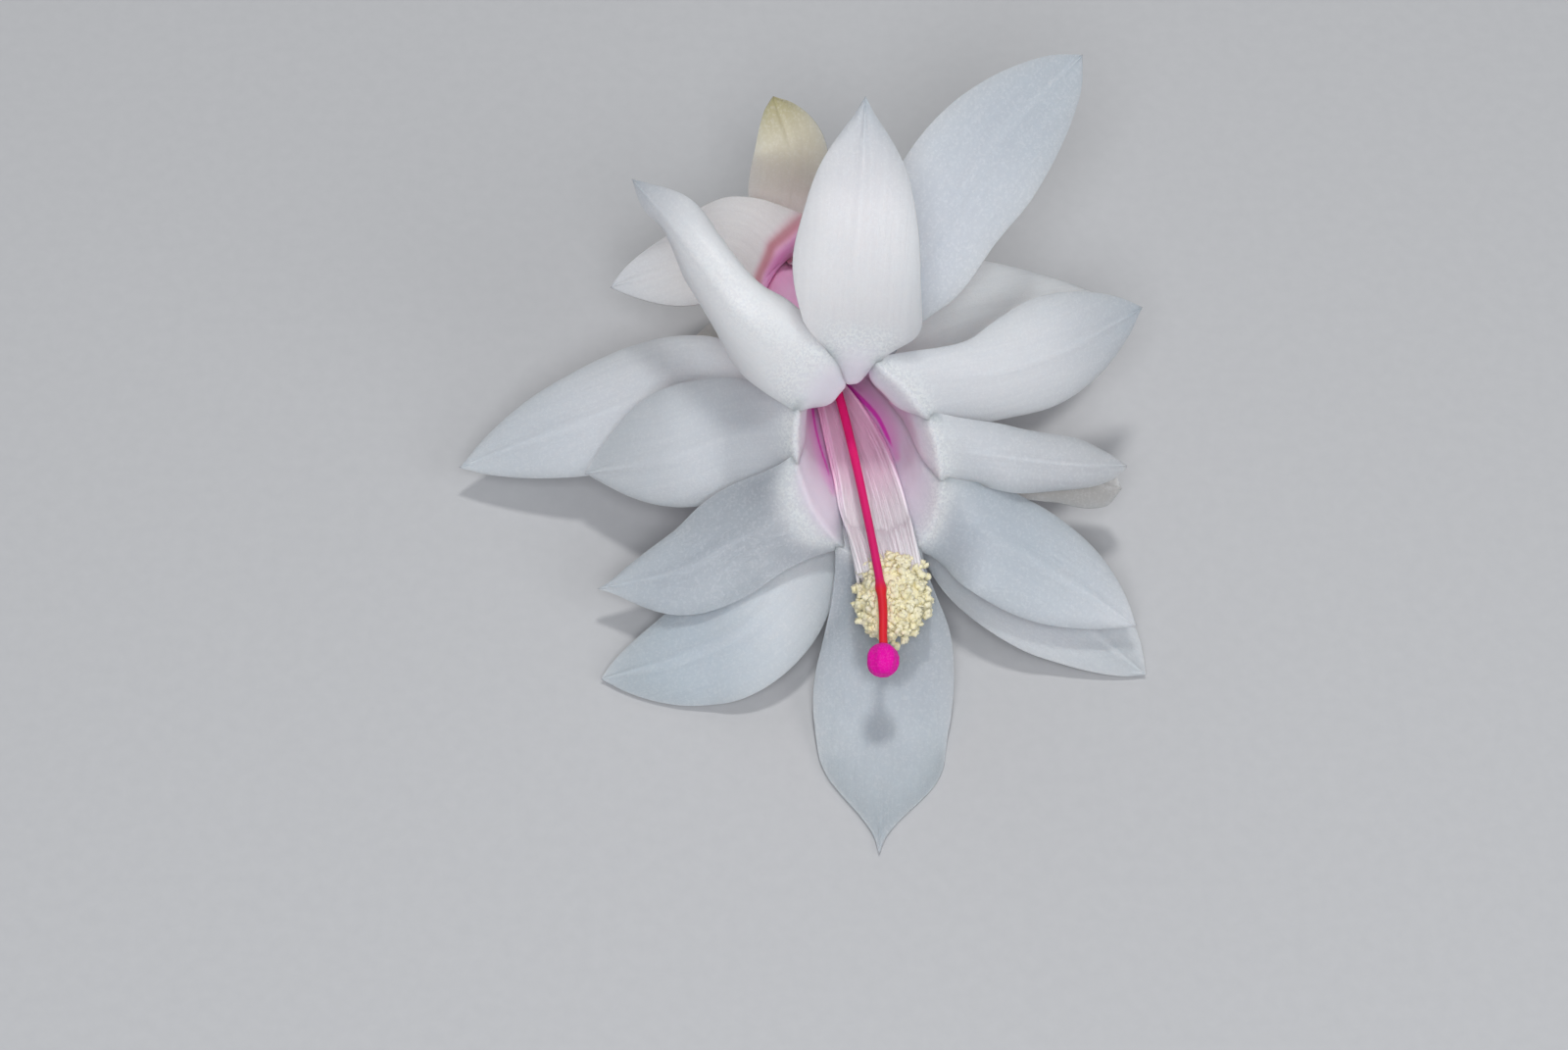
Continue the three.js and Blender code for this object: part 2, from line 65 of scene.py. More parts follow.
# The floral tube: a row of ellipses, each a centre, a half axis to the right and one upwards.
TUBE_RINGS = np.array([
    [[-6.3, 18.7, 5.0], [2.0, 0.7, 0.0], [-0.2, 0.7, 2.0]],
    [[-4.1, 12.0, 7.6], [2.2, 0.7, 0.0], [-0.2, 0.8, 2.2]],
    [[-1.6, 5.4, 9.8], [2.9, 0.8, 0.0], [-0.3, 1.1, 2.9]],
    [[0.3, -0.4, 11.6], [4.5, 0.6, 0.0], [-0.6, 2.7, 5.0]],
    [[1.3, -4.9, 12.3], [6.1, 0.2, 0.0], [-1.2, 5.2, 6.9]],
])

# Tepal tones. Each tepal is one white, beige or cream tissue made lighter or darker, partly to
# paint in the light and shade that fall on it. ANTHER_SHADOW is the anthers' painted shadow on the
# lower tepal's root, DUSK and SLATE are painted shade at the roots of the lower right and left
# tepals beside the fold, STONE is painted shade under the right small tepal, and PURE and
# PAINTED_LIGHT are paler tones that paint light onto tepals that lie steep or in shadow.
COOL = (0.57, 0.63, 0.69)
DUSK = (0.45, 0.49, 0.54)
ANTHER_SHADOW = (0.20, 0.24, 0.29)
SLATE = (0.35, 0.38, 0.42)
ASH = (0.41, 0.45, 0.49)
TIP = (0.38, 0.45, 0.51)
MIST = (0.50, 0.55, 0.60)
FOG = (0.56, 0.58, 0.61)
PEARL = (0.72, 0.73, 0.76)
STONE = (0.46, 0.45, 0.43)
MILKY = (0.66, 0.68, 0.72)
WHITE = (0.84, 0.84, 0.86)
PURE = (0.92, 0.92, 0.94)
WARM = (0.86, 0.81, 0.82)
PAINTED_LIGHT = (0.94, 0.93, 0.90)
BEIGE = (0.77, 0.71, 0.60)
CREAM = (0.34, 0.30, 0.11)
BUFF = (0.84, 0.80, 0.78)

# Tepals. `angle` is the root's place round the tube in degrees (0 is right, 90 is up), `along`
# its place from the pericarpel (0) to the rim (1), `lean` how square it leaves the tube.
# `sector` is the part of the throat that an inner tepal lines. `spine` goes on from the root to
# the tip. `half` is the half width at the share `widest` of the length, `root` the share of it
# at the root, and a higher `taper` makes a longer tip. `cup` turns the margins up, or back below
# 0, in degrees, `near` and `far` widen the two margins, and all three go from the root to the
# tip. `face` is the way the inner face looks. `freed` is the share of the length over which the
# root turns into the blade. `pocket` is how far, in mm, the lining swells inwards below the rim.
# `crest` is how far out the painted highlight on the fold and the end of the throat's pink lie,
# and `frosted` carries that painted highlight on along the midline. `clasp` is how far an outer
# foot reaches round the tube, in radians, and `slant` how much it slopes along it. `blush` is
# where a foot's pink ends: its start, its slope across the blade and its upper limit. `tones` are
# the colours at the root, in the middle and at the tip, with painted light and shade in them.
USUAL_TEPAL = dict(
    along=1.0, lean=0.85, sector=None, near=(1, 1, 1), far=(1, 1, 1), freed=0.28, pocket=0.0,
    crest=0.0, frosted=0.0, clasp=1.4, slant=0.0, blush=(-0.02, 0.0, -0.02))

INNER_TEPALS = {
    "upper_left_tepal": dict(
        angle=126, sector=(154, 93), pocket=2.2, crest=0.12, frosted=0.6,
        spine=((-8.3, 1.1, 22.5), (-12.6, 6.4, 24.7), (-16.8, 13.0, 24.0)),
        half=3.8, widest=0.38, root=0.8, taper=1.0, cup=(-15, -60, -105, -125, -95, -25, 0),
        near=(1.2, 1.35, 1.45, 1.5, 1.5, 1.45, 1.3, 0.85, 0.48, 0.8, 1.0),
        far=(1, 1, 0.95, 1.0, 1.12, 1.0),
        face=(-0.35, -0.7, 0.8), tones=(PURE, PURE, TIP)),
    "top_tepal": dict(
        angle=92, sector=(108, 68), pocket=2.0, crest=0.12, freed=0.16,
        spine=((0.2, 2.3, 24.5), (0.7, 7.2, 29.5), (1.0, 14.0, 32.5)),
        half=4.9, widest=0.42, root=0.7, taper=1.25, cup=(15, 18, 10),
        near=(0.7, 0.88, 1, 1, 1.12, 1.2), far=(1.5, 1.2, 1.0, 0.97, 1.12, 1.2),
        face=(0.0, -0.7, 0.75), tones=(WARM, WARM, TIP)),
    "right_tepal": dict(
        angle=46, sector=(75, 18.5), pocket=1.6, crest=0.05,
        spine=((10.7, 0.0, 16.5), (16.9, 3.3, 15.5), (23.0, 9.1, 13.0)),
        half=4.7, widest=0.52, root=0.64, taper=0.9, cup=(-8, -22, -5),
        near=(1.0, 0.62, 0.82, 1.0, 1.05, 1.0), far=(1, 1, 0.88, 0.9, 0.97, 1),
        face=(0.35, -0.7, 0.7), tones=(MILKY, PEARL, TIP)),
    "lower_right_tepal": dict(
        angle=327, sector=(350, 297), pocket=0.6, crest=0.04, lean=0.6,
        spine=((11.1, -10.0, 8.5), (16.9, -12.3, 6.0), (22.0, -14.8, 3.6)),
        half=4.5, widest=0.45, root=0.62, taper=1.0, cup=(-5, -20, -8),
        near=(1, 1, 1, 0.97, 1.0, 1.05),
        face=(0.15, -0.4, 1.0), tones=(DUSK, MIST, MILKY)),
    "right_small_tepal": dict(
        angle=4, sector=(26, -17), pocket=0.8, crest=0.04,
        spine=((12.2, -4.9, 12.2), (16.9, -4.6, 10.9), (21.5, -3.1, 8.7)),
        half=2.7, widest=0.4, root=0.68, taper=0.6, cup=(-5, -35, -50),
        near=(1, 1, 0.9, 0.9, 1, 1),
        face=(0.35, -0.6, 0.8), tones=(MILKY, FOG, FOG)),
    "lower_tepal": dict(
        angle=270, sector=(304, 232),
        spine=((2.9, -17.1, 2.3), (2.5, -24.3, 0.0), (2.0, -33.2, 0.1)),
        half=5.6, widest=0.5, root=0.62, taper=1.3, cup=(25, 12, 5),
        near=(1, 1, 0.94, 0.9, 1.08, 0.4), far=(1, 1, 1.03, 1.02, 1.1, 0.4),
        face=(0.0, -0.1, 1.0), tones=(ANTHER_SHADOW, MIST, MIST)),
    "left_tepal": dict(
        angle=208, sector=(240, 178), pocket=0.3, crest=0.10, lean=0.5,
        spine=((-8.2, -9.1, 8.0), (-13.1, -11.2, 6.0), (-19.6, -11.2, 3.5)),
        half=4.3, widest=0.45, root=0.65, taper=1.3, cup=(10, -15, 0),
        near=(1, 1, 1, 1, 1.15, 1.2), far=(1, 1, 0.9, 0.84, 1.0, 1.2),
        face=(-0.15, -0.5, 1.0), tones=(SLATE, ASH, COOL)),
    "far_left_tepal": dict(
        angle=166, sector=(185, 142), pocket=0.4, crest=0.04,
        spine=((-9.3, -1.9, 10.7), (-14.3, -2.4, 8.6), (-20.8, -1.6, 5.5)),
        half=4.7, widest=0.42, root=0.62, taper=1.0, cup=(5, -20, -10),
        far=(1, 1, 1.1, 1.35, 1.75, 1.7),
        face=(-0.25, -0.55, 1.0), tones=(MILKY, MILKY, MILKY)),
}

OUTER_TEPALS = {
    "lower_left_outer_tepal": dict(
        angle=240, along=0.86,
        spine=((-6.9, -14.2, 4.3), (-12.3, -16.4, 2.2), (-19.3, -17.6, 0.3)),
        half=4.8, widest=0.5, root=0.6, taper=0.9, cup=(15, -12, 0),
        face=(-0.1, -0.3, 1.0), tones=(WHITE, COOL, COOL)),
    "far_left_outer_tepal": dict(
        angle=186, along=0.66,
        spine=((-12.9, 4.6, 8.3), (-21.4, 2.5, 6.6), (-31.0, 0.8, 3.0)),
        half=5.0, widest=0.48, root=0.5, taper=0.9, cup=(5, -15, -5),
        face=(-0.2, -0.3, 1.0), tones=(WHITE, MILKY, COOL)),
    "top_right_outer_tepal": dict(
        angle=68, along=0.7,
        spine=((6.3, 10.3, 20.0), (11.3, 16.5, 24.0), (18.2, 24.0, 26.0)),
        half=5.2, widest=0.5, root=0.42, taper=0.75, cup=(5, 10, 5), far=(1, 1, 0.85, 0.95, 1, 1),
        face=(0.05, -0.6, 0.8), tones=(MIST, MIST, TIP)),
    "top_outer_tepal": dict(
        angle=112, along=0.74,
        spine=((0.0, 6.4, 21.0), (-0.3, 9.6, 23.5), (-1.3, 13.0, 25.6)),
        half=3.8, widest=0.45, root=0.6, taper=1.0, cup=(10, 15, 10),
        face=(-0.1, -0.7, 0.75), tones=(WARM, WARM, WARM)),
    "right_outer_tepal": dict(
        angle=36, along=0.64,
        spine=((8.1, 8.5, 12.0), (13.8, 10.6, 11.2), (20.0, 13.2, 9.5)),
        half=3.6, widest=0.45, root=0.65, taper=0.9, cup=(5, 10, 5),
        near=(1.3, 1.4, 1.35, 1.15, 1, 1), face=(0.05, -0.4, 1.0), tones=(PAINTED_LIGHT, PAINTED_LIGHT, WHITE)),
    "right_small_outer_tepal": dict(
        angle=354, along=0.8,
        spine=((12.3, -3.2, 8.4), (17.0, -3.4, 7.4), (21.3, -3.2, 5.6)),
        half=2.2, widest=0.72, root=0.6, taper=0.5, cup=(5, 5, 5),
        face=(0.1, -0.4, 1.0), tones=(STONE, STONE, STONE)),
    "lower_right_outer_tepal": dict(
        angle=312, along=0.84,
        spine=((11.4, -10.2, 4.4), (17.6, -13.2, 2.2), (22.9, -17.2, 0.3)),
        half=4.6, widest=0.5, root=0.55, taper=0.9, cup=(5, 5, 5),
        face=(0.0, -0.2, 1.0), tones=(COOL, MILKY, MILKY)),
}

USUAL_BASAL = dict(along=0.12, half=3.0, widest=0.45, root=0.7, taper=0.85, cup=(15, 10, 5),
                   face=(0.0, 0.1, 1.0), blush=(0.03, 0.0, 0.03), tones=(WARM, BEIGE, CREAM))
BASAL_TEPALS = {
    "basal_top_tepal": dict(
        USUAL_BASAL, angle=95, along=0.04,
        spine=((-5.2, 21.4, 11.0), (-4.6, 22.6, 16.4), (-6.0, 25.9, 19.0)),
        half=3.3, widest=0.55, root=0.6, taper=0.8, cup=(25, 25, 10),
        near=(0.7, 0.85, 1, 1, 1, 1), far=(0.7, 0.85, 0.95, 0.92, 0.92, 1),
        face=(0.0, -0.85, 0.55), tones=(BUFF, BEIGE, CREAM)),
    "basal_left_tepal": dict(
        USUAL_BASAL, angle=120, along=0.17, lean=0.9, clasp=1.2, slant=0.12, freed=0.13,
        spine=((-9.4, 17.0, 10.6), (-13.6, 15.3, 10.6), (-19.1, 14.5, 8.8)),
        half=3.9, widest=0.35, root=0.85, cup=(10, 30, 40, 30, 25, 20),
        near=(1, 1.1, 1.15, 1.15, 1.15, 1), far=(2.4, 1.5, 1.02, 0.88, 0.9, 1),
        face=(0.0, -0.55, 1.0), blush=(0.13, 0.20, 0.21), tones=(BUFF, BUFF, MILKY)),
    "basal_right_tepal": dict(
        USUAL_BASAL, angle=25, clasp=0.85, widest=0.42, cup=(20, 25, 10), face=(0.1, -0.5, 1.0),
        spine=((-0.5, 18.3, 7.8), (3.4, 18.8, 8.0), (7.6, 19.8, 6.4))),
    "basal_lower_left_tepal": dict(
        USUAL_BASAL, angle=222, spine=((-9.6, 13.6, 1.9), (-12.4, 10.4, 0.3), (-15.6, 7.0, 0.3))),
    "basal_lower_right_tepal": dict(
        USUAL_BASAL, angle=318, spine=((-1.0, 14.0, 1.9), (2.0, 11.2, 0.3), (5.4, 8.2, 0.3))),
}

LINING_START, LINING_END = 0.44, 0.965  # where along the tube an inner tepal lines it
# The shares of the tube and of a blade's length at which a tepal has a key row.
LINING_KEYS = LINING_START + (LINING_END - LINING_START) * np.linspace(0, 1, 9) ** 0.85
BLADE_KEYS = np.concatenate([[0.0, 0.03, 0.07], np.linspace(0.12, 1, 16)])
FLOOR_GAP = 0.02  # the least height of a tepal above the floor
MARGIN_WAVES = 0.16  # how high a tepal's margins wave
MIDRIB_DEPTH = 0.10
TIP_THINNING = 0.7  # the share of its wall that a blade loses towards its tip
FAR_FROM_CREASE = 9.0
FOLD_WIDTH = 0.07  # of the painted highlight on the fold, as a share of the blade's length
BLUSH_FADE = (-0.02, 0.13)  # how a foot's pink fades towards its edge, in the same shares

# The two magenta creases in the throat, as places along the tube and turns round it in degrees.
CREASES = (
    ((0.46, 262), (0.52, 228), (0.58, 218), (0.66, 218), (0.77, 228), (0.84, 230)),
    ((0.42, 292), (0.46, 301), (0.54, 313), (0.62, 321), (0.69, 319), (0.76, 317)),
)
CREASE_EDGE = (0.12, 0.30)  # how far from its middle in mm a crease starts and ends to fade
TUBE_END = 0.93  # the tube's skin ends here, under the linings
SKIN_START = 0.05  # its inner wall goes back to here
TUBE_RIDGES, RIDGE_HEIGHT = 8, 0.06

STYLE_PATH = ((-5.6, 16.7, 5.8), (-3.9, 11.6, 7.7), (-1.1, 3.6, 10.3), (2.0, -13.3, 9.3),
              (2.35, -19.1, 8.4), (2.3, -20.0, 8.2))
KNUCKLE = 0.634  # where along the style it is
STIGMA_CENTRE = np.array([2.3, -20.8, 8.0])
STIGMA_LOBES = 7
STIGMA_LENGTH = 1.08  # over its width

# The filaments on the floor of the throat: places along the tube, and the turns round it, in
# degrees, of the leftmost and the rightmost one there.
FILAMENT_STATIONS = np.array([0.34, 0.46, 0.58, 0.70, 0.80, 0.88])
FILAMENT_LEFT = np.array([250.0, 238.0, 231.0, 233.0, 236.0, 238.0])
FILAMENT_RIGHT = np.array([285.0, 300.0, 312.0, 313.0, 310.0, 307.0])

FILAMENT_LAYERS = 3
FILAMENT_RISE, LAYER_RISE = 0.42, 0.22  # of the first layer over the floor, and of each next one

ANTHER_CENTRE = np.array([3.1, -14.2, 6.8])
ANTHER_SPREAD = np.array([2.85, 3.9, 2.2])
ANTHER_FLOOR = 2.2  # no anther lies lower, over the lower tepal
ANTHER_CORE = 0.86  # the size of the body under the anthers, as a share of their spread
CLUMP_SIZE, CLUMP_PULL = 8, 0.35  # anthers to a clump, and how far they are drawn into it
ANTHER_DEPTHS = (0.76, 0.98)  # how far out most anthers lie, as shares of their spread
BEAN_END = 1.05  # half an anther's length over half its width

PERICARPEL_PATH = ((-6.6, 19.4, 4.6), (-7.0, 20.4, 3.6), (-7.5, 21.7, 2.3), (-7.9, 22.9, 1.5))
PERICARPEL_RADII = ((2.1,), (2.5,), (2.4,), (1.5,))
PERICARPEL_RIDGES = 5

CAMERA_PLACE = (-0.00122, -0.17869, 0.25634)
CAMERA_PITCH = 35.0  # degrees up from looking straight down
CAMERA_LENS = 90.0
SENSOR_WIDTH = 36.0
FLOOR_REACH = 1.5
# Each light's name, place, width, watts and colour.
LIGHTS = (
    ("key", (0.02, 0.11, 0.62), 0.09, 1.15, (1.0, 0.985, 0.97)),
    ("front", (0.0, -0.40, 0.51), 0.32, 2.35, (0.97, 0.975, 1.0)),
    ("right", (0.42, -0.25, 0.34), 0.3, 0.5, (0.98, 0.985, 1.0)),
    ("back", (-0.25, 0.55, 0.30), 0.35, 0.3, (0.97, 0.985, 1.0)),
)
LIGHT_TARGET = np.array([0.0, 0.0, 0.01])
WORLD_COLOUR = (0.92, 0.95, 1.0, 1.0)
WORLD_STRENGTH = 0.13


# --- Curves and surfaces ---

def unit(vectors):
    """The vectors, each divided by its length."""
    return vectors / np.linalg.norm(vectors, axis=-1, keepdims=True)


def lerp(a, b, share):
    """a (1 - share) + b share."""
    return a + (b - a) * share


def bell(x, width):
    """exp(-(x / width)^2)."""
    return np.exp(-(x / width) ** 2)


def smoothstep(x, low, high):
    """3 s^2 - 2 s^3, where s runs from 0 at low to 1 at high."""
    s = np.clip((x - low) / (high - low), 0, 1)
    return s * s * (3 - 2 * s)


def through_three(values, t):
    """The parabola through the three values at t = 0, 0.5 and 1."""
    a, b, c = (np.asarray(v, float) for v in values)
    t = t.reshape(t.shape + (1,) * a.ndim)
    return a * (1 - t) * (1 - 2 * t) + 4 * b * t * (1 - t) + c * t * (2 * t - 1)


def spline(knots, share):
    """A uniform Catmull-Rom spline through the knots: between knots b and c, the cubic
    b + w/2 ((c - a) + w ((2a - 5b + 4c - d) + w (3 (b - c) + d - a))), with each end carried on
    in a straight line."""
    knots = np.asarray(knots, float)
    share = np.asarray(share, float)
    padded = np.concatenate([2 * knots[:1] - knots[1:2], knots, 2 * knots[-1:] - knots[-2:-1]])
    place = np.clip(share, 0, 1) * (len(knots) - 1)
    first = np.minimum(place.astype(int), len(knots) - 2)
    w = (place - first).reshape(share.shape + (1,) * (knots.ndim - 1))
    a, b, c, d = (padded[first + k] for k in range(4))
    return b + 0.5 * w * ((c - a) + w * ((2 * a - 5 * b + 4 * c - d) + w * (3 * (b - c) + d - a)))


def profile(values, t):
    """Values carried along the length: the parabola through three of them, or else a spline
    through values at equal steps."""
    if len(values) == 3:
        return through_three(values, t)[:, None]
    return spline(np.array(values, float)[:, None], t)


def soft_floor(height, rest, reach=0.5):
    """A height kept above a rest with no crease: (h + r + sqrt((h - r)^2 + reach^2)) / 2, less an
    eighth of the reach."""
    return (height + rest + np.sqrt((height - rest) ** 2 + reach ** 2)) / 2 - reach / 8


def direction(path, share):
    """The way a spline goes at these shares of its length."""
    ahead = spline(path, np.minimum(share + PATH_STEP, 1))
    return unit(ahead - spline(path, np.maximum(share - PATH_STEP, 0)))


def square_to(tangent):
    """Right, which is X made square to the tangent, and up, which is right crossed with it."""
    right = unit(np.array([1.0, 0.0, 0.0]) - tangent * tangent[..., :1])
    return right, np.cross(right, tangent)


def full_turn(count):
    """This number of equal steps round a circle, from 0."""
    return 2 * np.pi * np.arange(count) / count


def polar_steps(rows):
    """The polar angles, from one pole of a ball to the other, of this number of rings."""
    return (np.pi * (np.arange(rows) + 0.5) / rows)[:, None]


def circle(right, up, reach, turn):
    """right reach cos(turn) + up reach sin(turn)."""
    return right * (reach * np.cos(turn))[..., None] + up * (reach * np.sin(turn))[..., None]


def tube_middle(along, turn):
    """A point of the tube's wall: centre + right cos(turn) + up sin(turn) of the ellipse there."""
    along, turn = np.broadcast_arrays(along, turn)
    ellipse = spline(TUBE_RINGS, along)
    return ellipse[..., 0, :] + circle(ellipse[..., 1, :], ellipse[..., 2, :], 1.0, turn)


def tube_normal(along, turn):
    """The wall's outward normal: the change with turn crossed with the change with along."""
    along = np.asarray(along, float)
    lengthwise = (tube_middle(np.minimum(along + WALL_STEP, 1), turn)
                  - tube_middle(np.maximum(along - WALL_STEP, 0), turn))
    crosswise = tube_middle(along, turn + WALL_STEP) - tube_middle(along, turn - WALL_STEP)
    return unit(np.cross(crosswise, lengthwise))


def tube_forward(along):
    """The way the tube's ellipse looks, out of the throat: right crossed with up."""
    ellipse = spline(TUBE_RINGS, along)
    return unit(np.cross(ellipse[..., 1, :], ellipse[..., 2, :]))


def tube_surface(along, turn, offset):
    """A point at this offset outwards from the middle of the wall."""
    return tube_middle(along, turn) + tube_normal(along, turn) * np.asarray(offset)[..., None]


def crease_distance(points):
    """How far each point is from the nearest magenta crease in mm, counted as more towards the
    crease's end, where it is faint."""
    share = np.linspace(0, 1, 80)
    strength = lerp(1.0, 0.35, smoothstep(share, 0.75, 1.0))
    nearest = []
    for crease in CREASES:
        along, turn = spline(crease, share).T
        line = tube_surface(along, np.radians(turn), INNER_WALL - 0.12)
        apart = np.linalg.norm(points[:, None] - line[None], axis=-1) / strength
        nearest.append(apart.min(axis=1))
    return np.minimum(*nearest)


# --- Meshes ---

def ring_faces(rows, count):
    """Four-sided faces between rows of closed rings."""
    row, place = np.meshgrid(np.arange(rows - 1), np.arange(count), indexing="ij")
    a = row * count + place
    b = row * count + (place + 1) % count
    return np.stack([a, b, b + count, a + count], -1).reshape(-1, 4)


def blade_faces(rows, columns):
    """Faces of a thin blade: rings of its inner and outer row, closed across both ends."""
    count = 2 * columns
    k = np.arange(columns - 1)
    cap = np.stack([k, count - 1 - k, count - 2 - k, k + 1], -1)
    return [ring_faces(rows, count), cap, (rows - 1) * count + cap[:, ::-1]]


def pole_faces(rows, count):
    """Faces of rings, closed by a fan to a pole before the first ring and one after the last. The
    poles are the two points that follow the rings."""
    k = np.arange(count)
    after = (k + 1) % count
    last = (rows - 1) * count
    pole = np.full(count, rows * count)
    return [ring_faces(rows, count), np.stack([after, k, pole], -1),
            np.stack([last + k, last + after, pole + 1], -1)]


def copied_faces(blocks, number, points_each):
    """The blocks of faces of one shape, for this number of copies of it."""
    offsets = (np.arange(number) * points_each)[:, None, None]
    return [(block + offsets).reshape(-1, block.shape[1]) for block in blocks]


def enclosed(points, blocks):
    """Six times the volume that the faces enclose: the sum of a . (b x c) over their triangles."""
    total = 0.0
    for block in blocks:
        for k in range(1, block.shape[1] - 1):
            a, b, c = points[block[:, 0]], points[block[:, k]], points[block[:, k + 1]]
            total += np.einsum("ij,ij->", a, np.cross(b, c))
    return total


def add_object(name, data):
    """A new object in the scene."""
    made = bpy.data.objects.new(name, data)
    bpy.context.scene.collection.objects.link(made)
    return made


def make_piece(name, node, slot, finish, points, blocks, **attributes):
    """A smooth mesh piece from points in mm and blocks of faces, turned outwards, with its own
    attributes, which rides on the bloom and stands for its CAD node."""
    if enclosed(points, blocks) < 0:
        blocks = [block[:, ::-1] for block in blocks]
    mesh = bpy.data.meshes.new(name)
    placed = (points + SHIFT) * MM
    mesh.from_pydata(placed.tolist(), [], [face for block in blocks for face in block.tolist()])
    kinds = {1: ("FLOAT", "value"), 3: ("FLOAT_VECTOR", "vector"), 4: ("FLOAT_COLOR", "color")}
    for label, values in attributes.items():
        kind, field = kinds[values.size // len(points)]
        attribute = mesh.attributes.new(label, kind, "POINT")
        attribute.data.foreach_set(field, np.ascontiguousarray(values, np.float32).ravel())
    mesh.materials.append(finish)
    mesh.shade_smooth()
    mesh.update()
    piece = add_object(name, mesh)
    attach(piece, "root")
    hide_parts(node)


# --- Tepals ---

def half_width(tepal, t):
    """half (root + (1 - root) sin(pi/2 t/widest)) up to the widest place, then
    half (1 - u^2)^taper, where u runs from 0 there to 1 at the tip."""
    swelling = lerp(tepal.root, 1, np.sin(np.pi / 2 * np.minimum(t / tepal.widest, 1)))
    u = np.clip((t - tepal.widest) / (1 - tepal.widest), 0, 1)
    return np.maximum(tepal.half * swelling * (1 - u * u) ** tepal.taper, 0.05)


def blade_surface(tepal, t, u, foot):
    """The blade's middle surface. Its spine is a spline from inside the root to the tip, and each
    cross-section is an arc of the cup's angle: side r sin(a) + face r (1 - cos(a)), a = cup u,
    r = half width / cup. `near` and `far` widen the margins at u = -1 and u = 1. Close to the
    root, the cross-section is the foot's edge carried along the spine."""
    angle, along = np.radians(tepal.angle), tepal.along
    outward, forward = tube_normal(along, angle), tube_forward(along)
    if tepal.sector:
        root = tube_surface(along, angle, 0.0) + forward * CLEARANCE
    else:
        root = tube_surface(along, angle, TUBE_WALL / 2 + CLEARANCE + SOLID_THICKNESS / 2)
    leaving = unit(lerp(forward, outward, tepal.lean))
    knots = np.array([root - leaving * ROOT_BEND, root, *tepal.spine])
    share = (1 + 3 * t) / 4
    centre, tangent = spline(knots, share), direction(knots, share)
    face = lerp(lerp(-outward, forward, tepal.lean), np.array(tepal.face),
                smoothstep(t, 0, 0.4)[:, None])
    face = unit(face - tangent * np.sum(face * tangent, -1, keepdims=True))
    side = np.cross(tangent, face)
    cup = np.radians(profile(tepal.cup, t))
    cup = np.where(np.abs(cup) < 1e-3, 1e-3, cup)
    radius = half_width(tepal, t)[:, None] / cup
    widened = lerp(profile(tepal.near, t), profile(tepal.far, t), (1 + u) / 2)
    across = radius * np.sin(cup * u) * widened
    rise = radius * (1 - np.cos(cup * u))
    blade = centre[:, None] + side[:, None] * across[..., None] + face[:, None] * rise[..., None]
    carried = foot[None] + (centre - root)[:, None]
    return lerp(carried, blade, smoothstep(t, 0.0, tepal.freed)[:, None, None])


def lining_surface(tepal, along, u):
    """The part of the throat that an inner tepal lines: the tube's inner wall over its sector.
    One margin lies 0.06 mm off the wall and the other 0.12 mm, so each lining overlaps the next.
    A pocket swells inwards by pocket (1 - u^4) exp(-((along - 0.9) / 0.1)^2) below the rim."""
    high, low = tepal.sector
    angle = tepal.angle + (360 if low > tepal.angle else 0)
    turn = np.radians(through_three((high, angle, low), (u + 1) / 2))[None]
    gap = 0.09 - 0.03 * u + tepal.pocket * bell(along - 0.9, 0.1)[:, None] * (1 - u ** 4)
    return tube_surface(along[:, None], turn, INNER_WALL - gap)


def foot_surface(tepal, u):
    """An outer tepal's foot on the tube's outside: three rows that end at its root, each as wide
    as the root but no wider than `clasp`, and further and further off the wall."""
    along = np.array([max(tepal.along - 0.09, 0.0), max(tepal.along - 0.05, 0.02), tepal.along])
    ellipse = spline(TUBE_RINGS, along)
    size = np.sqrt(np.linalg.norm(ellipse[:, 1], axis=-1) * np.linalg.norm(ellipse[:, 2], axis=-1))
    reach = np.minimum(half_width(tepal, np.zeros(1)) / size, tepal.clasp)
    turn = np.radians(tepal.angle) - reach[:, None] * u
    slanted = np.clip(along[:, None] - tepal.slant * u, 0, 1)
    lift = np.linspace(0.08, 0.5, len(along))[:, None] + 0 * turn
    return tube_surface(slanted, turn, TUBE_WALL / 2 + lift)


def tepal_rows(tepal, u):
    """The tepal's key rows, and the share of the blade's length at each (below 0 in the foot)."""
    if tepal.sector:
        foot, shares = lining_surface(tepal, LINING_KEYS, u), (LINING_KEYS - 1) * 0.9
        edge = lining_surface(tepal, np.ones(1), u)[0]
    else:
        *foot, edge = foot_surface(tepal, u)
        shares = (-0.12, -0.05)
    blade = blade_surface(tepal, BLADE_KEYS, u, edge)
    return np.concatenate([foot, blade]), np.concatenate([shares, BLADE_KEYS])


def both_faces(upper, lower):
    """Values on a blade's upper face and back across its lower face, row after row."""
    return np.concatenate([upper, lower[:, ::-1]], axis=1).reshape(-1, *upper.shape[2:])


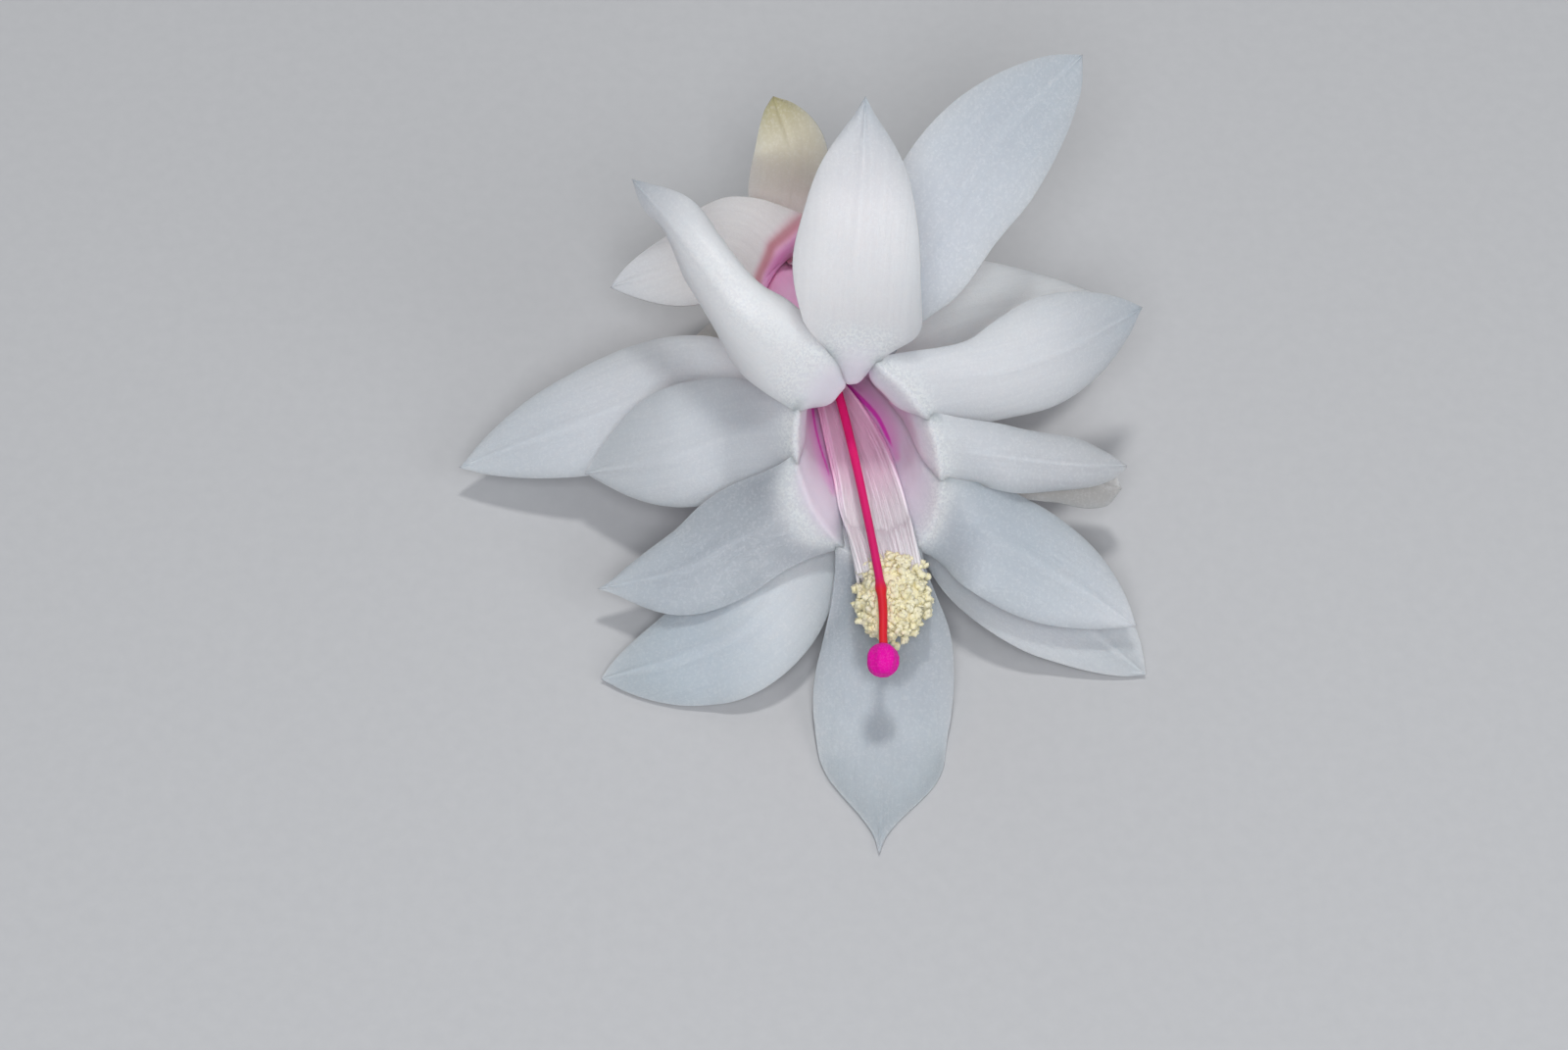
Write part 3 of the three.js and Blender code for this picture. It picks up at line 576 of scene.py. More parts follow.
def tepal_marks(tepal, surface, t, u, number):
    """What the finish reads at each point of a tepal. `grain` is its place across and along the
    blade in mm and its own number, `tone` its colour with painted light and shade in it, `throat`
    how deep it lies in the throat, `ridge` how much painted highlight it gets, on the fold and
    along the midline, and `blush` how pink its foot is."""
    inner = bool(tepal.sector)
    columns = len(u)
    midline = surface[:, columns // 2]
    steps = np.linalg.norm(np.diff(midline, axis=0), axis=-1)
    along_mm = np.concatenate([[0], np.cumsum(steps)])[:, None] + 0 * u
    across_mm = np.linalg.norm(surface - midline[:, None], axis=-1) * np.sign(u)
    grain = np.stack([across_mm, along_mm, np.full_like(across_mm, 7.0 * number)], -1)
    tone = through_three(tepal.tones, np.clip(t, 0, 1))
    tone = np.concatenate([tone, np.ones_like(tone[..., :1])], -1) + 0 * grain[..., :1]
    crest = tepal.crest * (1 - u ** 4)
    # The painted highlight: a band along the fold and, where a tepal has one, a streak along its
    # midline.
    ridge = inner * bell(t + 0.02 - crest, FOLD_WIDTH)
    midline_highlight_share = tepal.frosted * bell(u - 0.1, 0.35) * smoothstep(-t, -0.85, -0.35)
    start, slope, limit = tepal.blush
    marks = dict(
        grain=grain, tone=tone, throat=inner * np.clip(1.1 * crest - t, 0, 1),
        ridge=np.maximum(ridge, midline_highlight_share * smoothstep(t, -0.1, 0.05)),
        blush=(not inner) * smoothstep(np.minimum(start + slope * u, limit) - t, *BLUSH_FADE))
    return {label: both_faces(values, values) for label, values in marks.items()}


def make_tepal(name, values, number, slot, finish, sizes):
    """A tepal as one thin closed blade. Its middle surface is a spline through key rows from the
    throat to the tip; it gets a shallow midrib and waving margins, and a wall that thins from the
    midrib to the margin as 1 - |u|^3, towards the tip and down its foot. It rests on the floor
    where it would go through it."""
    tepal = SimpleNamespace(**{**USUAL_TEPAL, **values})
    rows, columns = sizes.tepal_rows, sizes.tepal_columns
    u = np.sin(np.linspace(-1, 1, columns) * np.pi / 2)
    keys, shares = tepal_rows(tepal, u)
    s = np.linspace(0, 1, rows)
    surface, t = spline(keys, s), spline(shares[:, None], s)
    normal = unit(np.cross(*np.gradient(surface, axis=(0, 1))) + 1e-12)
    phase = 1.7 * number
    wave = np.sin(7 * t + phase + 1.5 * u) + 0.6 * np.sin(13 * t + 2.3 * phase - u)
    relief = MARGIN_WAVES * np.abs(u) ** 2.5 * wave - MIDRIB_DEPTH * bell(u, 0.1)
    surface = surface + normal * (smoothstep(t, 0.05, 0.5) * relief)[..., None]
    full, thin = sizes.tepal_thickness / MM, sizes.margin_thickness / MM
    thinning = 1 - TIP_THINNING * smoothstep(t, 0.6, 1.0)
    wall = lerp(thin, full, (1 - np.abs(u) ** 3) * thinning)
    wall = wall * lerp(0.5, 1.0, smoothstep(t, -0.5, 0.0))
    upper = surface + normal * wall[..., None] / 2
    lower = surface - normal * wall[..., None] / 2
    lifted = soft_floor(surface[..., 2], FLOOR_GAP + wall / 2) - surface[..., 2]
    upper[..., 2] += lifted
    lower[..., 2] = np.maximum(lower[..., 2] + lifted, FLOOR_GAP)
    points = both_faces(upper, lower)
    crease = crease_distance(points) if tepal.sector else np.full(len(points), FAR_FROM_CREASE)
    make_piece(name + "_petal", name, slot, finish, points, blade_faces(rows, columns),
               crease=crease, **tepal_marks(tepal, surface, t, u, number))


# --- Finishes ---

class Finish:
    """A node material that is being built round one Principled shader."""

    def __init__(self, name):
        self.material = bpy.data.materials.new(name)
        self.material.use_nodes = True
        self.tree = self.material.node_tree

    def put(self, node, label, value):
        """A socket linked to another socket, or set to a value or to a colour."""
        socket = node.inputs[label]
        if isinstance(value, bpy.types.NodeSocket):
            self.tree.links.new(value, socket)
        else:
            socket.default_value = (*value, 1.0) if socket.type == "RGBA" else value

    def node(self, kind, inputs=None, **settings):
        """A node with these settings, and its inputs linked or set."""
        made = self.tree.nodes.new("ShaderNode" + kind)
        for label, value in settings.items():
            setattr(made, label, value)
        for label, value in (inputs or {}).items():
            self.put(made, label, value)
        return made

    def attribute(self, label, output="Fac"):
        """One of the piece's own attributes."""
        return self.node("Attribute", attribute_name=label).outputs[output]

    def place(self):
        """Object coordinates."""
        return self.node("TexCoord").outputs["Object"]

    def noise(self, where, scale, detail=4.0, roughness=0.55):
        """Noise between 0 and 1."""
        return self.node("TexNoise", {"Vector": where, "Scale": scale, "Detail": detail,
                                      "Roughness": roughness}).outputs["Fac"]

    def streaks(self, where, stretch, detail, roughness=0.55):
        """Noise on coordinates that are first multiplied by a vector."""
        made = self.node("VectorMath", {0: where, 1: stretch}, operation="MULTIPLY")
        return self.noise(made.outputs[0], 1.0, detail, roughness)

    def cells(self, where, scale, output="Distance"):
        """A cell pattern."""
        return self.node("TexVoronoi", {"Vector": where, "Scale": scale}).outputs[output]

    def span(self, value, low, high, to_low=0.0, to_high=1.0, way="LINEAR"):
        """The value's range from low to high carried to another range, and no further."""
        return self.node("MapRange", {"Value": value, "From Min": low, "From Max": high,
                                      "To Min": to_low, "To Max": to_high},
                         interpolation_type=way).outputs["Result"]

    def ease(self, value, low, high, to_low=0.0, to_high=1.0):
        """The same with a soft start and end."""
        return self.span(value, low, high, to_low, to_high, "SMOOTHSTEP")

    def math(self, operation, a, b):
        """Arithmetic of two numbers."""
        return self.node("Math", {0: a, 1: b}, operation=operation).outputs[0]

    def times(self, a, b):
        """The product of two numbers."""
        return self.math("MULTIPLY", a, b)

    def mix(self, share, a, b, blend="MIX"):
        """Two colours mixed by a share."""
        return self.node("Mix", {0: share, 6: a, 7: b}, data_type="RGBA",
                         blend_type=blend).outputs[2]

    def bump(self, height, distance, strength, **normal):
        """A bump that is this many metres high, on top of another Normal if there is one."""
        return self.node("Bump", {"Height": height, "Distance": distance, "Strength": strength,
                                  **normal}).outputs["Normal"]

    def done(self, tone, roughness, normal, specular, **others):
        """The finished material. The others are sockets by name, with underscores for spaces."""
        sockets = dict(Base_Color=tone, Roughness=roughness, Normal=normal,
                       Specular_IOR_Level=specular, **others)
        for label, value in sockets.items():
            self.put(self.tree.nodes["Principled BSDF"], label.replace("_", " "), value)
        return self.material

    def tissue(self, tone, roughness, normal, specular, fill, depth, reach, **others):
        """The finished material of a tissue. The share `fill` of the light goes into it, for
        `depth` in metres times `reach` for red, green and blue."""
        return self.done(tone, roughness, normal, specular, Subsurface_Weight=fill,
                         Subsurface_Scale=depth, Subsurface_Radius=reach, **others)


def petal_finish(name, colours, gloss, fill, edge_strength):
    """Thin petal tissue: the tone along the blade, pale cloudy variation, lengthwise veins, small
    cells painted as glints, a painted highlight on the fold with darker cells in it, a pink foot
    with a brownish red edge, and in the throat a pink flush and the magenta creases."""
    f = Finish(name)
    place, grain = f.place(), f.attribute("grain", "Vector")
    ridge, blush = f.attribute("ridge"), f.attribute("blush")
    depth, crease = f.attribute("throat"), f.attribute("crease")
    veins = f.streaks(grain, (2.6, 0.10, 1.0), 3.0, 0.6)
    fine = f.streaks(grain, (9.0, 0.5, 1.0), 2.0, 0.5)
    clouds = f.noise(place, scale=260.0, detail=3.0)
    cell_scale = 6200.0
    cell = f.cells(place, cell_scale)
    spark = f.node("SeparateColor", {"Color": f.cells(place, cell_scale, "Color")}).outputs
    glint = spark["Green"]
    tone = f.attribute("tone", "Color")
    tone = f.mix(f.span(clouds, 0.3, 0.7, 0.0, 0.22), tone, colours.petal_cool, "MULTIPLY")
    tone = f.mix(f.span(veins, 0.35, 0.75, 0.0, 0.26), tone, colours.vein_and_glint_dark, "MULTIPLY")
    tone = f.mix(f.span(fine, 0.45, 0.8, 0.0, 0.08), tone, colours.vein_and_glint_dark, "MULTIPLY")
    # Painted glints: random cells lightened towards white.
    tone = f.mix(f.span(glint, 0.55, 1.0, 0.0, 0.10), tone, (1.0, 1.0, 1.0))
    # Painted highlight on the fold and the midline, with the cells between its glints darkened.
    tone = f.mix(f.times(ridge, 0.8), tone, colours.petal_highlight)
    dim = f.times(ridge, f.span(glint, 0.3, 0.7, 0.85, 0.0))
    tone = f.mix(dim, tone, colours.vein_and_glint_dark, "MULTIPLY")
    # A brownish red edge where the pink foot fades out.
    edge = f.times(f.ease(blush, 0.0, 0.4, 0.0, edge_strength), f.ease(blush, 0.5, 0.9, 1.0, 0.0))
    tone = f.mix(blush, tone, colours.petal_blush)
    tone = f.mix(edge, tone, colours.petal_blush_edge)
    tone = f.mix(f.ease(depth, 0.0, 0.16, 0.0, 0.9), tone, colours.throat_pink)
    tone = f.mix(f.ease(depth, 0.12, 0.40, 0.0, 0.75), tone, colours.throat_deep)
    halo = f.times(f.ease(crease, 0.0, 2.4, 0.9, 0.0), f.span(depth, 0.0, 0.1))
    tone = f.mix(halo, tone, colours.throat_flush)
    tone = f.mix(f.ease(crease, *CREASE_EDGE, 0.95, 0.0), tone, colours.throat_magenta)
    normal = f.bump(f.math("ADD", veins, f.times(fine, 0.3)), 0.00008, strength=0.4)
    normal = f.bump(spark["Red"], f.span(ridge, 0.0, 1.0, 0.00002, 0.00004), 0.6, Normal=normal)
    return f.tissue(tone, f.span(cell, 0.0, 0.7, gloss, gloss + 0.18), normal, specular=0.55,
                    fill=fill, depth=0.0021, reach=(1.0, 0.85, 0.8), Sheen_Weight=0.12,
                    Sheen_Roughness=0.35)


def tube_finish(colours):
    """The tube: pink outside, greenish at the foot, and the throat's flush and creases inside."""
    f = Finish("tube_tissue")
    along, crease = f.attribute("along"), f.attribute("crease")
    outside = f.mix(f.ease(along, 0.0, 0.10, 0.3, 1.0), colours.pericarpel_green,
                    colours.tube_pink)
    # Paler towards the rim: partly the tube's own colour, partly painted light where the tepals
    # shade the tube.
    outside = f.mix(f.ease(along, 0.30, 0.80), outside, colours.throat_pink)
    inside = f.mix(f.ease(along, 0.3, 0.9), colours.throat_deep, colours.throat_pink)
    inside = f.mix(f.ease(crease, *CREASE_EDGE, 0.95, 0.0), inside, colours.throat_magenta)
    tone = f.mix(f.attribute("inner"), outside, inside)
    streaks = f.streaks(f.attribute("grain", "Vector"), (1.4, 0.168, 1.4), 4.0)
    tone = f.mix(f.span(streaks, 0.35, 0.75, 0.0, 0.35), tone, colours.vein_and_glint_dark, "MULTIPLY")
    cell = f.cells(f.place(), 4200.0)
    normal = f.bump(f.math("ADD", streaks, f.times(cell, 0.15)), 0.00012, strength=0.5)
    return f.tissue(tone, f.span(cell, 0.0, 0.7, 0.38, 0.55), normal, specular=0.5,
                    fill=0.8, depth=0.0015, reach=(1.0, 0.7, 0.85))


def style_finish(colours):
    """The style: crimson, turning redder towards the stigma, with faint lengthwise streaks."""
    f = Finish("style_tissue")
    tone = f.mix(f.ease(f.attribute("share"), 0.610, 0.645), colours.style_crimson,
                 colours.style_red)
    streaks = f.streaks(f.place(), (3200.0, 260.0, 3200.0), 3.0)
    tone = f.mix(f.span(streaks, 0.3, 0.7, 0.0, 0.35), tone, colours.style_dark)
    return f.tissue(tone, f.span(streaks, 0.3, 0.7, 0.40, 0.55), f.bump(streaks, 0.00003, 0.5),
                    specular=0.2, fill=0.12, depth=0.0005, reach=(1.0, 0.3, 0.4))


def stigma_finish(colours):
    """The stigma: bright magenta, velvety with tiny papillae that catch the light."""
    f = Finish("stigma_velvet")
    place = f.place()
    cell = f.cells(place, 6500.0)
    blotch = f.noise(place, scale=900.0, detail=3.0)
    tone = f.mix(f.span(blotch, 0.35, 0.7, 0.0, 0.6), colours.stigma_magenta, colours.stigma_dark)
    # Painted highlight: each papilla is lighter at its middle.
    tone = f.mix(f.span(cell, 0.0, 0.5, 0.25, 0.0), tone, colours.stigma_light)
    normal = f.bump(f.math("SUBTRACT", 1.0, cell), 0.00005, strength=0.8)
    return f.tissue(tone, f.span(cell, 0.0, 0.6, 0.45, 0.7), normal, specular=0.15,
                    fill=0.15, depth=0.0006, reach=(1.0, 0.3, 0.8), Sheen_Weight=0.05,
                    Sheen_Roughness=0.5)


def filament_finish(colours):
    """The filaments: watery pinkish white threads, pinker in the throat."""
    f = Finish("filament_thread")
    tone = f.mix(f.ease(f.attribute("share"), 0.35, 0.80), colours.filament_pink,
                 colours.filament_white)
    streaks = f.streaks(f.place(), (5000.0, 400.0, 5000.0), 2.0)
    tone = f.mix(f.span(streaks, 0.35, 0.7, 0.0, 0.3), tone, colours.vein_and_glint_dark, "MULTIPLY")
    return f.tissue(tone, f.span(streaks, 0.3, 0.7, 0.3, 0.45), f.bump(streaks, 0.00002, 0.4),
                    specular=0.5, fill=0.5, depth=0.0008, reach=(1.0, 0.8, 0.85))


def anther_finish(colours):
    """The anthers: dusty cream pollen, darker in the gaps and with fine grains."""
    f = Finish("pollen_dust")
    place = f.place()
    grains = f.cells(place, 9000.0)
    clouds = f.noise(place, scale=1400.0)
    tone = f.mix(f.span(clouds, 0.3, 0.7), colours.pollen_cream, colours.pollen_yellow)
    tone = f.mix(f.span(grains, 0.0, 0.5, 0.3, 0.0), tone, colours.pollen_light)
    # Painted shade: anthers that lie deeper in the head, and the core under them, are darker.
    tone = f.mix(f.span(f.attribute("shade"), 0.0, 1.0, 0.35, 0.0), tone, colours.pollen_dark)
    normal = f.bump(f.math("SUBTRACT", f.times(clouds, 1.5), grains), 0.00006, strength=0.8)
    return f.tissue(tone, f.span(grains, 0.0, 0.6, 0.72, 0.95), normal, specular=0.3,
                    fill=0.2, depth=0.0005, reach=(1.0, 0.9, 0.5))


def pericarpel_finish(colours):
    """The pericarpel: green skin with brownish blotches and a small light grain."""
    f = Finish("pericarpel_skin")
    place = f.place()
    clouds = f.noise(place, scale=700.0, detail=5.0)
    cell = f.cells(place, 3500.0)
    tone = f.mix(f.span(clouds, 0.35, 0.65), colours.pericarpel_green, colours.pericarpel_brown)
    tone = f.mix(f.span(cell, 0.0, 0.5, 0.3, 0.0), tone, colours.pericarpel_light)
    normal = f.bump(f.math("ADD", clouds, cell), 0.0001, strength=0.6)
    return f.tissue(tone, f.span(cell, 0.0, 0.6, 0.4, 0.6), normal, specular=0.5,
                    fill=0.1, depth=0.0006, reach=(0.8, 1.0, 0.4))


def floor_finish(colours):
    """A plain pale floor with a faint paper tooth."""
    f = Finish("pale_floor")
    tooth = f.noise(f.place(), scale=900.0, detail=3.0)
    tone = f.mix(f.span(tooth, 0.3, 0.7, 0.0, 0.04), colours.floor_grey, (1.0, 1.0, 1.0))
    return f.done(tone, 0.9, f.bump(tooth, 0.00003, 0.2), specular=0.2)


# --- Pieces ---

def make_tube(colours):
    """The tube as one closed skin: its outer wall out to the rim and its inner wall back. The wall
    thins to the rim, where the tepals begin, and low ridges run along its outside:
    height cos(ridges turn) sin(pi along)."""
    steps, count = 70, 96
    turn = full_turn(count)
    along = np.concatenate([np.linspace(0, TUBE_END, steps),
                            np.linspace(TUBE_END, SKIN_START, steps)])
    inner = np.repeat([0.0, 1.0], steps)
    wall = TUBE_WALL * lerp(1.0, 0.2, smoothstep(along, 0.75, TUBE_END))
    offset = np.where(inner > 0, INNER_WALL, INNER_WALL + wall)
    ridges = np.cos(TUBE_RIDGES * turn) * ((1 - inner) * np.sin(np.pi * along))[:, None]
    points = tube_surface(along[:, None], turn, offset[:, None] + RIDGE_HEIGHT * ridges)
    poles = spline(TUBE_RINGS, [0.0, SKIN_START])[:, 0]
    points = np.concatenate([points.reshape(-1, 3), poles])
    tall, inner = np.repeat(along, count), np.repeat(inner, count)
    grain = np.stack([np.tile(turn * 3, 2 * steps), tall * 26, inner], -1)
    make_piece("floral_tube_skin", "floral_tube", "pink_tube", tube_finish(colours), points,
               pole_faces(2 * steps, count), along=np.append(tall, [0, 0]),
               inner=np.append(inner, [0, 0]), grain=np.append(grain, np.zeros((2, 3)), axis=0),
               crease=crease_distance(points))


def make_rod(path, radius, rows, count):
    """Rings of this radius round a spline: centre + right r cos(turn) + up r sin(turn), closed by
    a pole at each end. Gives the points, the faces and each point's share of the length."""
    share, turn = np.linspace(0, 1, rows), full_turn(count)
    centre = spline(path, share)
    right, up = square_to(direction(path, share))
    ring = circle(right[:, None], up[:, None], radius(share[:, None], turn), turn)
    points = np.concatenate([(centre[:, None] + ring).reshape(-1, 3), centre[[0, -1]]])
    return points, pole_faces(rows, count), np.append(np.repeat(share, count), [0, 1])


def make_style(sizes, colours):
    """The style: a slim rod with a soft knuckle near two thirds of its length, a little thinner
    beyond it, and a slightly wavy skin."""
    def reach(share, turn):
        knuckle = 0.34 * bell(share - KNUCKLE, 0.009)
        waves = 0.03 * np.sin(2 * turn + 9 * share) + 0.02 * np.sin(31 * share)
        thinning = 0.06 * smoothstep(share, 0.66, 0.8)
        return sizes.style_radius / MM * (1 + knuckle + waves - thinning)

    points, blocks, share = make_rod(STYLE_PATH, reach, rows=160, count=28)
    make_piece("style_rod", "style", "crimson_style", style_finish(colours), points, blocks,
               share=share)


def make_stigma(sizes, colours):
    """The stigma: a ball r sin(p) wide at the polar angle p, with shallow lobes that run from pole
    to pole and a small dimple at its end."""
    radius = sizes.stigma_radius / MM
    tall = STIGMA_LENGTH * radius
    axis = unit(STIGMA_CENTRE - np.array(STYLE_PATH[-2]))
    right, up = square_to(axis)
    rows, count = 44, 84
    polar, turn = polar_steps(rows), full_turn(count)
    lobes = 1 + 0.05 * np.cos(STIGMA_LOBES * turn) * np.sin(polar) ** 0.5
    warts = 0.02 * np.sin(9 * turn + 5 * polar) * np.sin(11 * polar)
    reach = 0.97 * radius * np.sin(polar) * (lobes + warts)
    height = -tall * np.cos(polar) * (1 - 0.12 * bell(np.pi - polar, 0.35))
    rings = STIGMA_CENTRE + axis * height[..., None] + circle(right, up, reach, turn)
    poles = STIGMA_CENTRE + axis * np.array([[-tall], [0.95 * radius]])
    make_piece("stigma_ball", "stigma", "magenta_stigma", stigma_finish(colours),
               np.concatenate([rings.reshape(-1, 3), poles]), pole_faces(rows, count))


def make_filaments(sizes, colours):
    """The filaments: slim threads side by side in layers. Each follows the tube's floor from its
    root and then goes straight to its own place in the anther head."""
    random = np.random.default_rng(sizes.seed)
    number = sizes.filament_count
    share = (np.arange(number) + 0.5) / number
    layer = np.arange(number) % FILAMENT_LAYERS
    each = (number, len(FILAMENT_STATIONS))
    spread = share[:, None] + 0.006 * random.standard_normal(each)
    turn = np.radians(lerp(FILAMENT_LEFT, FILAMENT_RIGHT, spread))
    rise = FILAMENT_RISE + LAYER_RISE * layer[:, None] + 0.05 * random.random(each)
    floor = tube_surface(FILAMENT_STATIONS, turn, INNER_WALL - rise)
    reach = np.stack([2.5 * (2 * share - 1), 1.5 + 0 * share, 0.9 - 1.4 * layer / 2], -1)
    ends = ANTHER_CENTRE + reach + random.uniform(-0.2, 0.2, (number, 3))
    before = lerp(floor[:, -1], ends, 0.55) + np.array([0.0, 0.0, 0.25])
    keys = np.concatenate([floor, before[:, None], ends[:, None]], axis=1)
    rows, count = 28, 6
    s = np.linspace(0, 1, rows)
    centre = spline(keys.transpose(1, 0, 2), s).transpose(1, 0, 2)
    right, up = square_to(unit(np.gradient(centre, axis=1)))
    thick = sizes.filament_radius / MM * lerp(1.15, 0.75, s)[:, None]
    rings = centre[:, :, None] + circle(right[:, :, None], up[:, :, None], thick, full_turn(count))
    points = np.concatenate([rings.reshape(number, -1, 3), centre[:, [0, -1]]], axis=1)
    make_piece("filament_threads", "filaments", "pale_filaments", filament_finish(colours),
               points.reshape(-1, 3),
               copied_faces(pole_faces(rows, count), number, points.shape[1]),
               share=np.tile(np.append(np.repeat(s, count), [0, 1]), number))


def anther_core():
    """The lumpy body under the anthers: a smaller ellipsoid, with waves of 4% over it."""
    rows, count = 30, 48
    polar, turn = polar_steps(rows), full_turn(count)
    out = np.stack([np.sin(polar) * np.cos(turn), -np.cos(polar) + 0 * turn,
                    np.sin(polar) * np.sin(turn)], -1)
    reach = ANTHER_CORE + 0.04 * np.sin(7 * turn + 3 * polar) * np.sin(9 * polar)
    poles = np.array([[0, -ANTHER_CORE, 0], [0, ANTHER_CORE, 0]])
    points = np.concatenate([(out * reach[..., None]).reshape(-1, 3), poles])
    points = ANTHER_CENTRE + points * ANTHER_SPREAD
    points[:, 2] = np.maximum(points[:, 2], ANTHER_FLOOR + 0.1)
    return points, pole_faces(rows, count)


def make_anthers(sizes, colours):
    """The anthers: many small beans laid over an ellipsoid by the golden angle, drawn together
    into small clumps, and each turned and stretched its own way. At the polar angle p, a bean is
    sin(p) (1 - 0.12 cos(2 turn)) (1 - 0.22 exp(-((p - pi/2) / 0.5)^2)) wide, so it has a waist."""
    random = np.random.default_rng(sizes.seed + 1)
    number = sizes.anther_count
    rows, count = 5, 8
    polar, turn = polar_steps(rows), full_turn(count)
    waist = 1 - 0.22 * bell(polar - np.pi / 2, 0.5)
    width = np.sin(polar) * (1 - 0.12 * np.cos(2 * turn)) * waist
    bean = np.stack([width * np.cos(turn), width * np.sin(turn),
                     -BEAN_END * np.cos(polar) + 0 * width], -1).reshape(-1, 3)
    bean = np.concatenate([bean, [[0, 0, -BEAN_END], [0, 0, BEAN_END]]])
    place = np.arange(number) + 0.5
    height = 1 - 2 * place / number
    golden = np.pi * (3 - np.sqrt(5)) * place
    ring = np.sqrt(1 - height ** 2)
    out = np.stack([ring * np.cos(golden), height, ring * np.sin(golden)], -1)
    heads = out[random.choice(number, number // CLUMP_SIZE, replace=False)]
    clump = np.argmax(out @ heads.T, axis=1)
    out = unit(lerp(out, heads[clump], CLUMP_PULL))
    depth = random.uniform(*ANTHER_DEPTHS, number) + 0.10 * (random.random(number) > 0.9)
    depth = depth + random.uniform(-0.05, 0.07, len(heads))[clump]
    centres = ANTHER_CENTRE + out * ANTHER_SPREAD * depth[:, None]
    axis = unit(random.standard_normal((number, 3)) + 0.5 * out)
    other = unit(np.cross(axis, random.standard_normal((number, 3))))
    frames = np.stack([other, np.cross(axis, other), axis], 1)
    size = sizes.anther_length / MM / 3 * random.uniform(0.8, 1.2, (number, 1, 1))
    lumps = 1 + 0.2 * random.standard_normal((number, len(bean), 1))
    points = centres[:, None] + np.einsum("vk,nkj->nvj", bean, frames) * size * lumps
    points[..., 2] = np.maximum(points[..., 2], ANTHER_FLOOR)
    points = points.reshape(-1, 3)
    core, core_blocks = anther_core()
    blocks = (copied_faces(pole_faces(rows, count), number, len(bean))
              + [block + len(points) for block in core_blocks])
    # How much painted shade each anther gets: more the deeper it lies in the head.
    shade = np.append(np.repeat(smoothstep(depth, 0.6, 0.95), len(bean)), np.full(len(core), 0.3))
    make_piece("anther_head", "anthers", "yellow_anthers", anther_finish(colours),
               np.concatenate([points, core]), blocks, shade=shade)


def make_pericarpel(colours):
    """The pericarpel: a short rod of changing radius with soft ridges, flat where it rests."""
    def reach(share, turn):
        ridge = 1 + 0.05 * np.cos(PERICARPEL_RIDGES * turn) + 0.01 * np.sin(17 * turn + 9 * share)
        return 0.99 * spline(PERICARPEL_RADII, share[:, 0]) * ridge

    points, blocks, _ = make_rod(PERICARPEL_PATH, reach, rows=40, count=72)
    points[:, 2] = np.maximum(points[:, 2], 0.01)
    make_piece("pericarpel_skin", "pericarpel", "green_tissue", pericarpel_finish(colours), points,
               blocks)


def make_stage(colours):
    """A plain floor under the bloom, a light from above, a wide soft one from the front, weaker
    ones from the right and the back, and the camera."""
    scene = bpy.context.scene
    mesh = bpy.data.meshes.new("floor")
    corners = [(x * FLOOR_REACH, y * FLOOR_REACH, 0)
               for x, y in ((-1, -1), (1, -1), (1, 1), (-1, 1))]
    mesh.from_pydata(corners, [], [(0, 1, 2, 3)])
    mesh.materials.append(floor_finish(colours))
    add_object("floor", mesh)
    for name, place, width, watts, tint in LIGHTS:
        lamp = bpy.data.lights.new(name, "AREA")
        lamp.shape, lamp.size, lamp.energy, lamp.color = "DISK", width, watts, tint
        light = add_object(name, lamp)
        light.location = place
        aim = Vector(LIGHT_TARGET - np.array(place))
        light.rotation_euler = aim.to_track_quat("-Z", "Y").to_euler()
    scene.world = bpy.data.worlds.new("studio")
    scene.world.use_nodes = True
    background = scene.world.node_tree.nodes["Background"]
    background.inputs["Color"].default_value = WORLD_COLOUR
    background.inputs["Strength"].default_value = WORLD_STRENGTH
    scene.view_settings.view_transform = "Standard"
    camera = bpy.data.cameras.new("camera")
    camera.lens, camera.sensor_width, camera.clip_start = CAMERA_LENS, SENSOR_WIDTH, 0.01
    scene.camera = add_object("camera", camera)
    scene.camera.location = CAMERA_PLACE
    scene.camera.rotation_euler = (np.radians(CAMERA_PITCH), 0.0, 0.0)


# --- The add-on ---

def length(name, description, default):
    """A length property in metres."""
    return bpy.props.FloatProperty(name=name, description=description, default=default, min=0.0,
                                   precision=5, subtype="DISTANCE", unit="LENGTH")


def colour(name, description, default):
    """A colour property."""
    return bpy.props.FloatVectorProperty(name=name, description=description, default=default,
                                         min=0.0, max=1.0, size=3, subtype="COLOR")


def whole(name, description, default):
    """A whole-number property."""
    return bpy.props.IntProperty(name=name, description=description, default=default, min=1)


class BloomSizes(bpy.types.PropertyGroup):
    """Sizes and counts that a user may change."""

    tepal_thickness: length("Tepal thickness", "Thickness at a tepal's midrib", 0.00045)
    margin_thickness: length("Margin thickness", "Thickness at a tepal's margin", 0.00012)
    style_radius: length("Style radius", "Half the style's width", 0.00034)
    stigma_radius: length("Stigma radius", "Half the stigma's width", 0.00125)
    filament_radius: length("Filament radius", "Half a filament's width", 0.00019)
    anther_length: length("Anther length", "Length of one anther", 0.00084)
    tepal_rows: whole("Tepal rows", "Rows of points from root to tip", 150)
    tepal_columns: whole("Tepal columns", "Points across a tepal", 57)
    filament_count: whole("Filaments", "How many filaments there are", 120)
    anther_count: whole("Anthers", "How many anthers there are", 760)
    seed: whole("Seed", "Start of the random draws", 11)


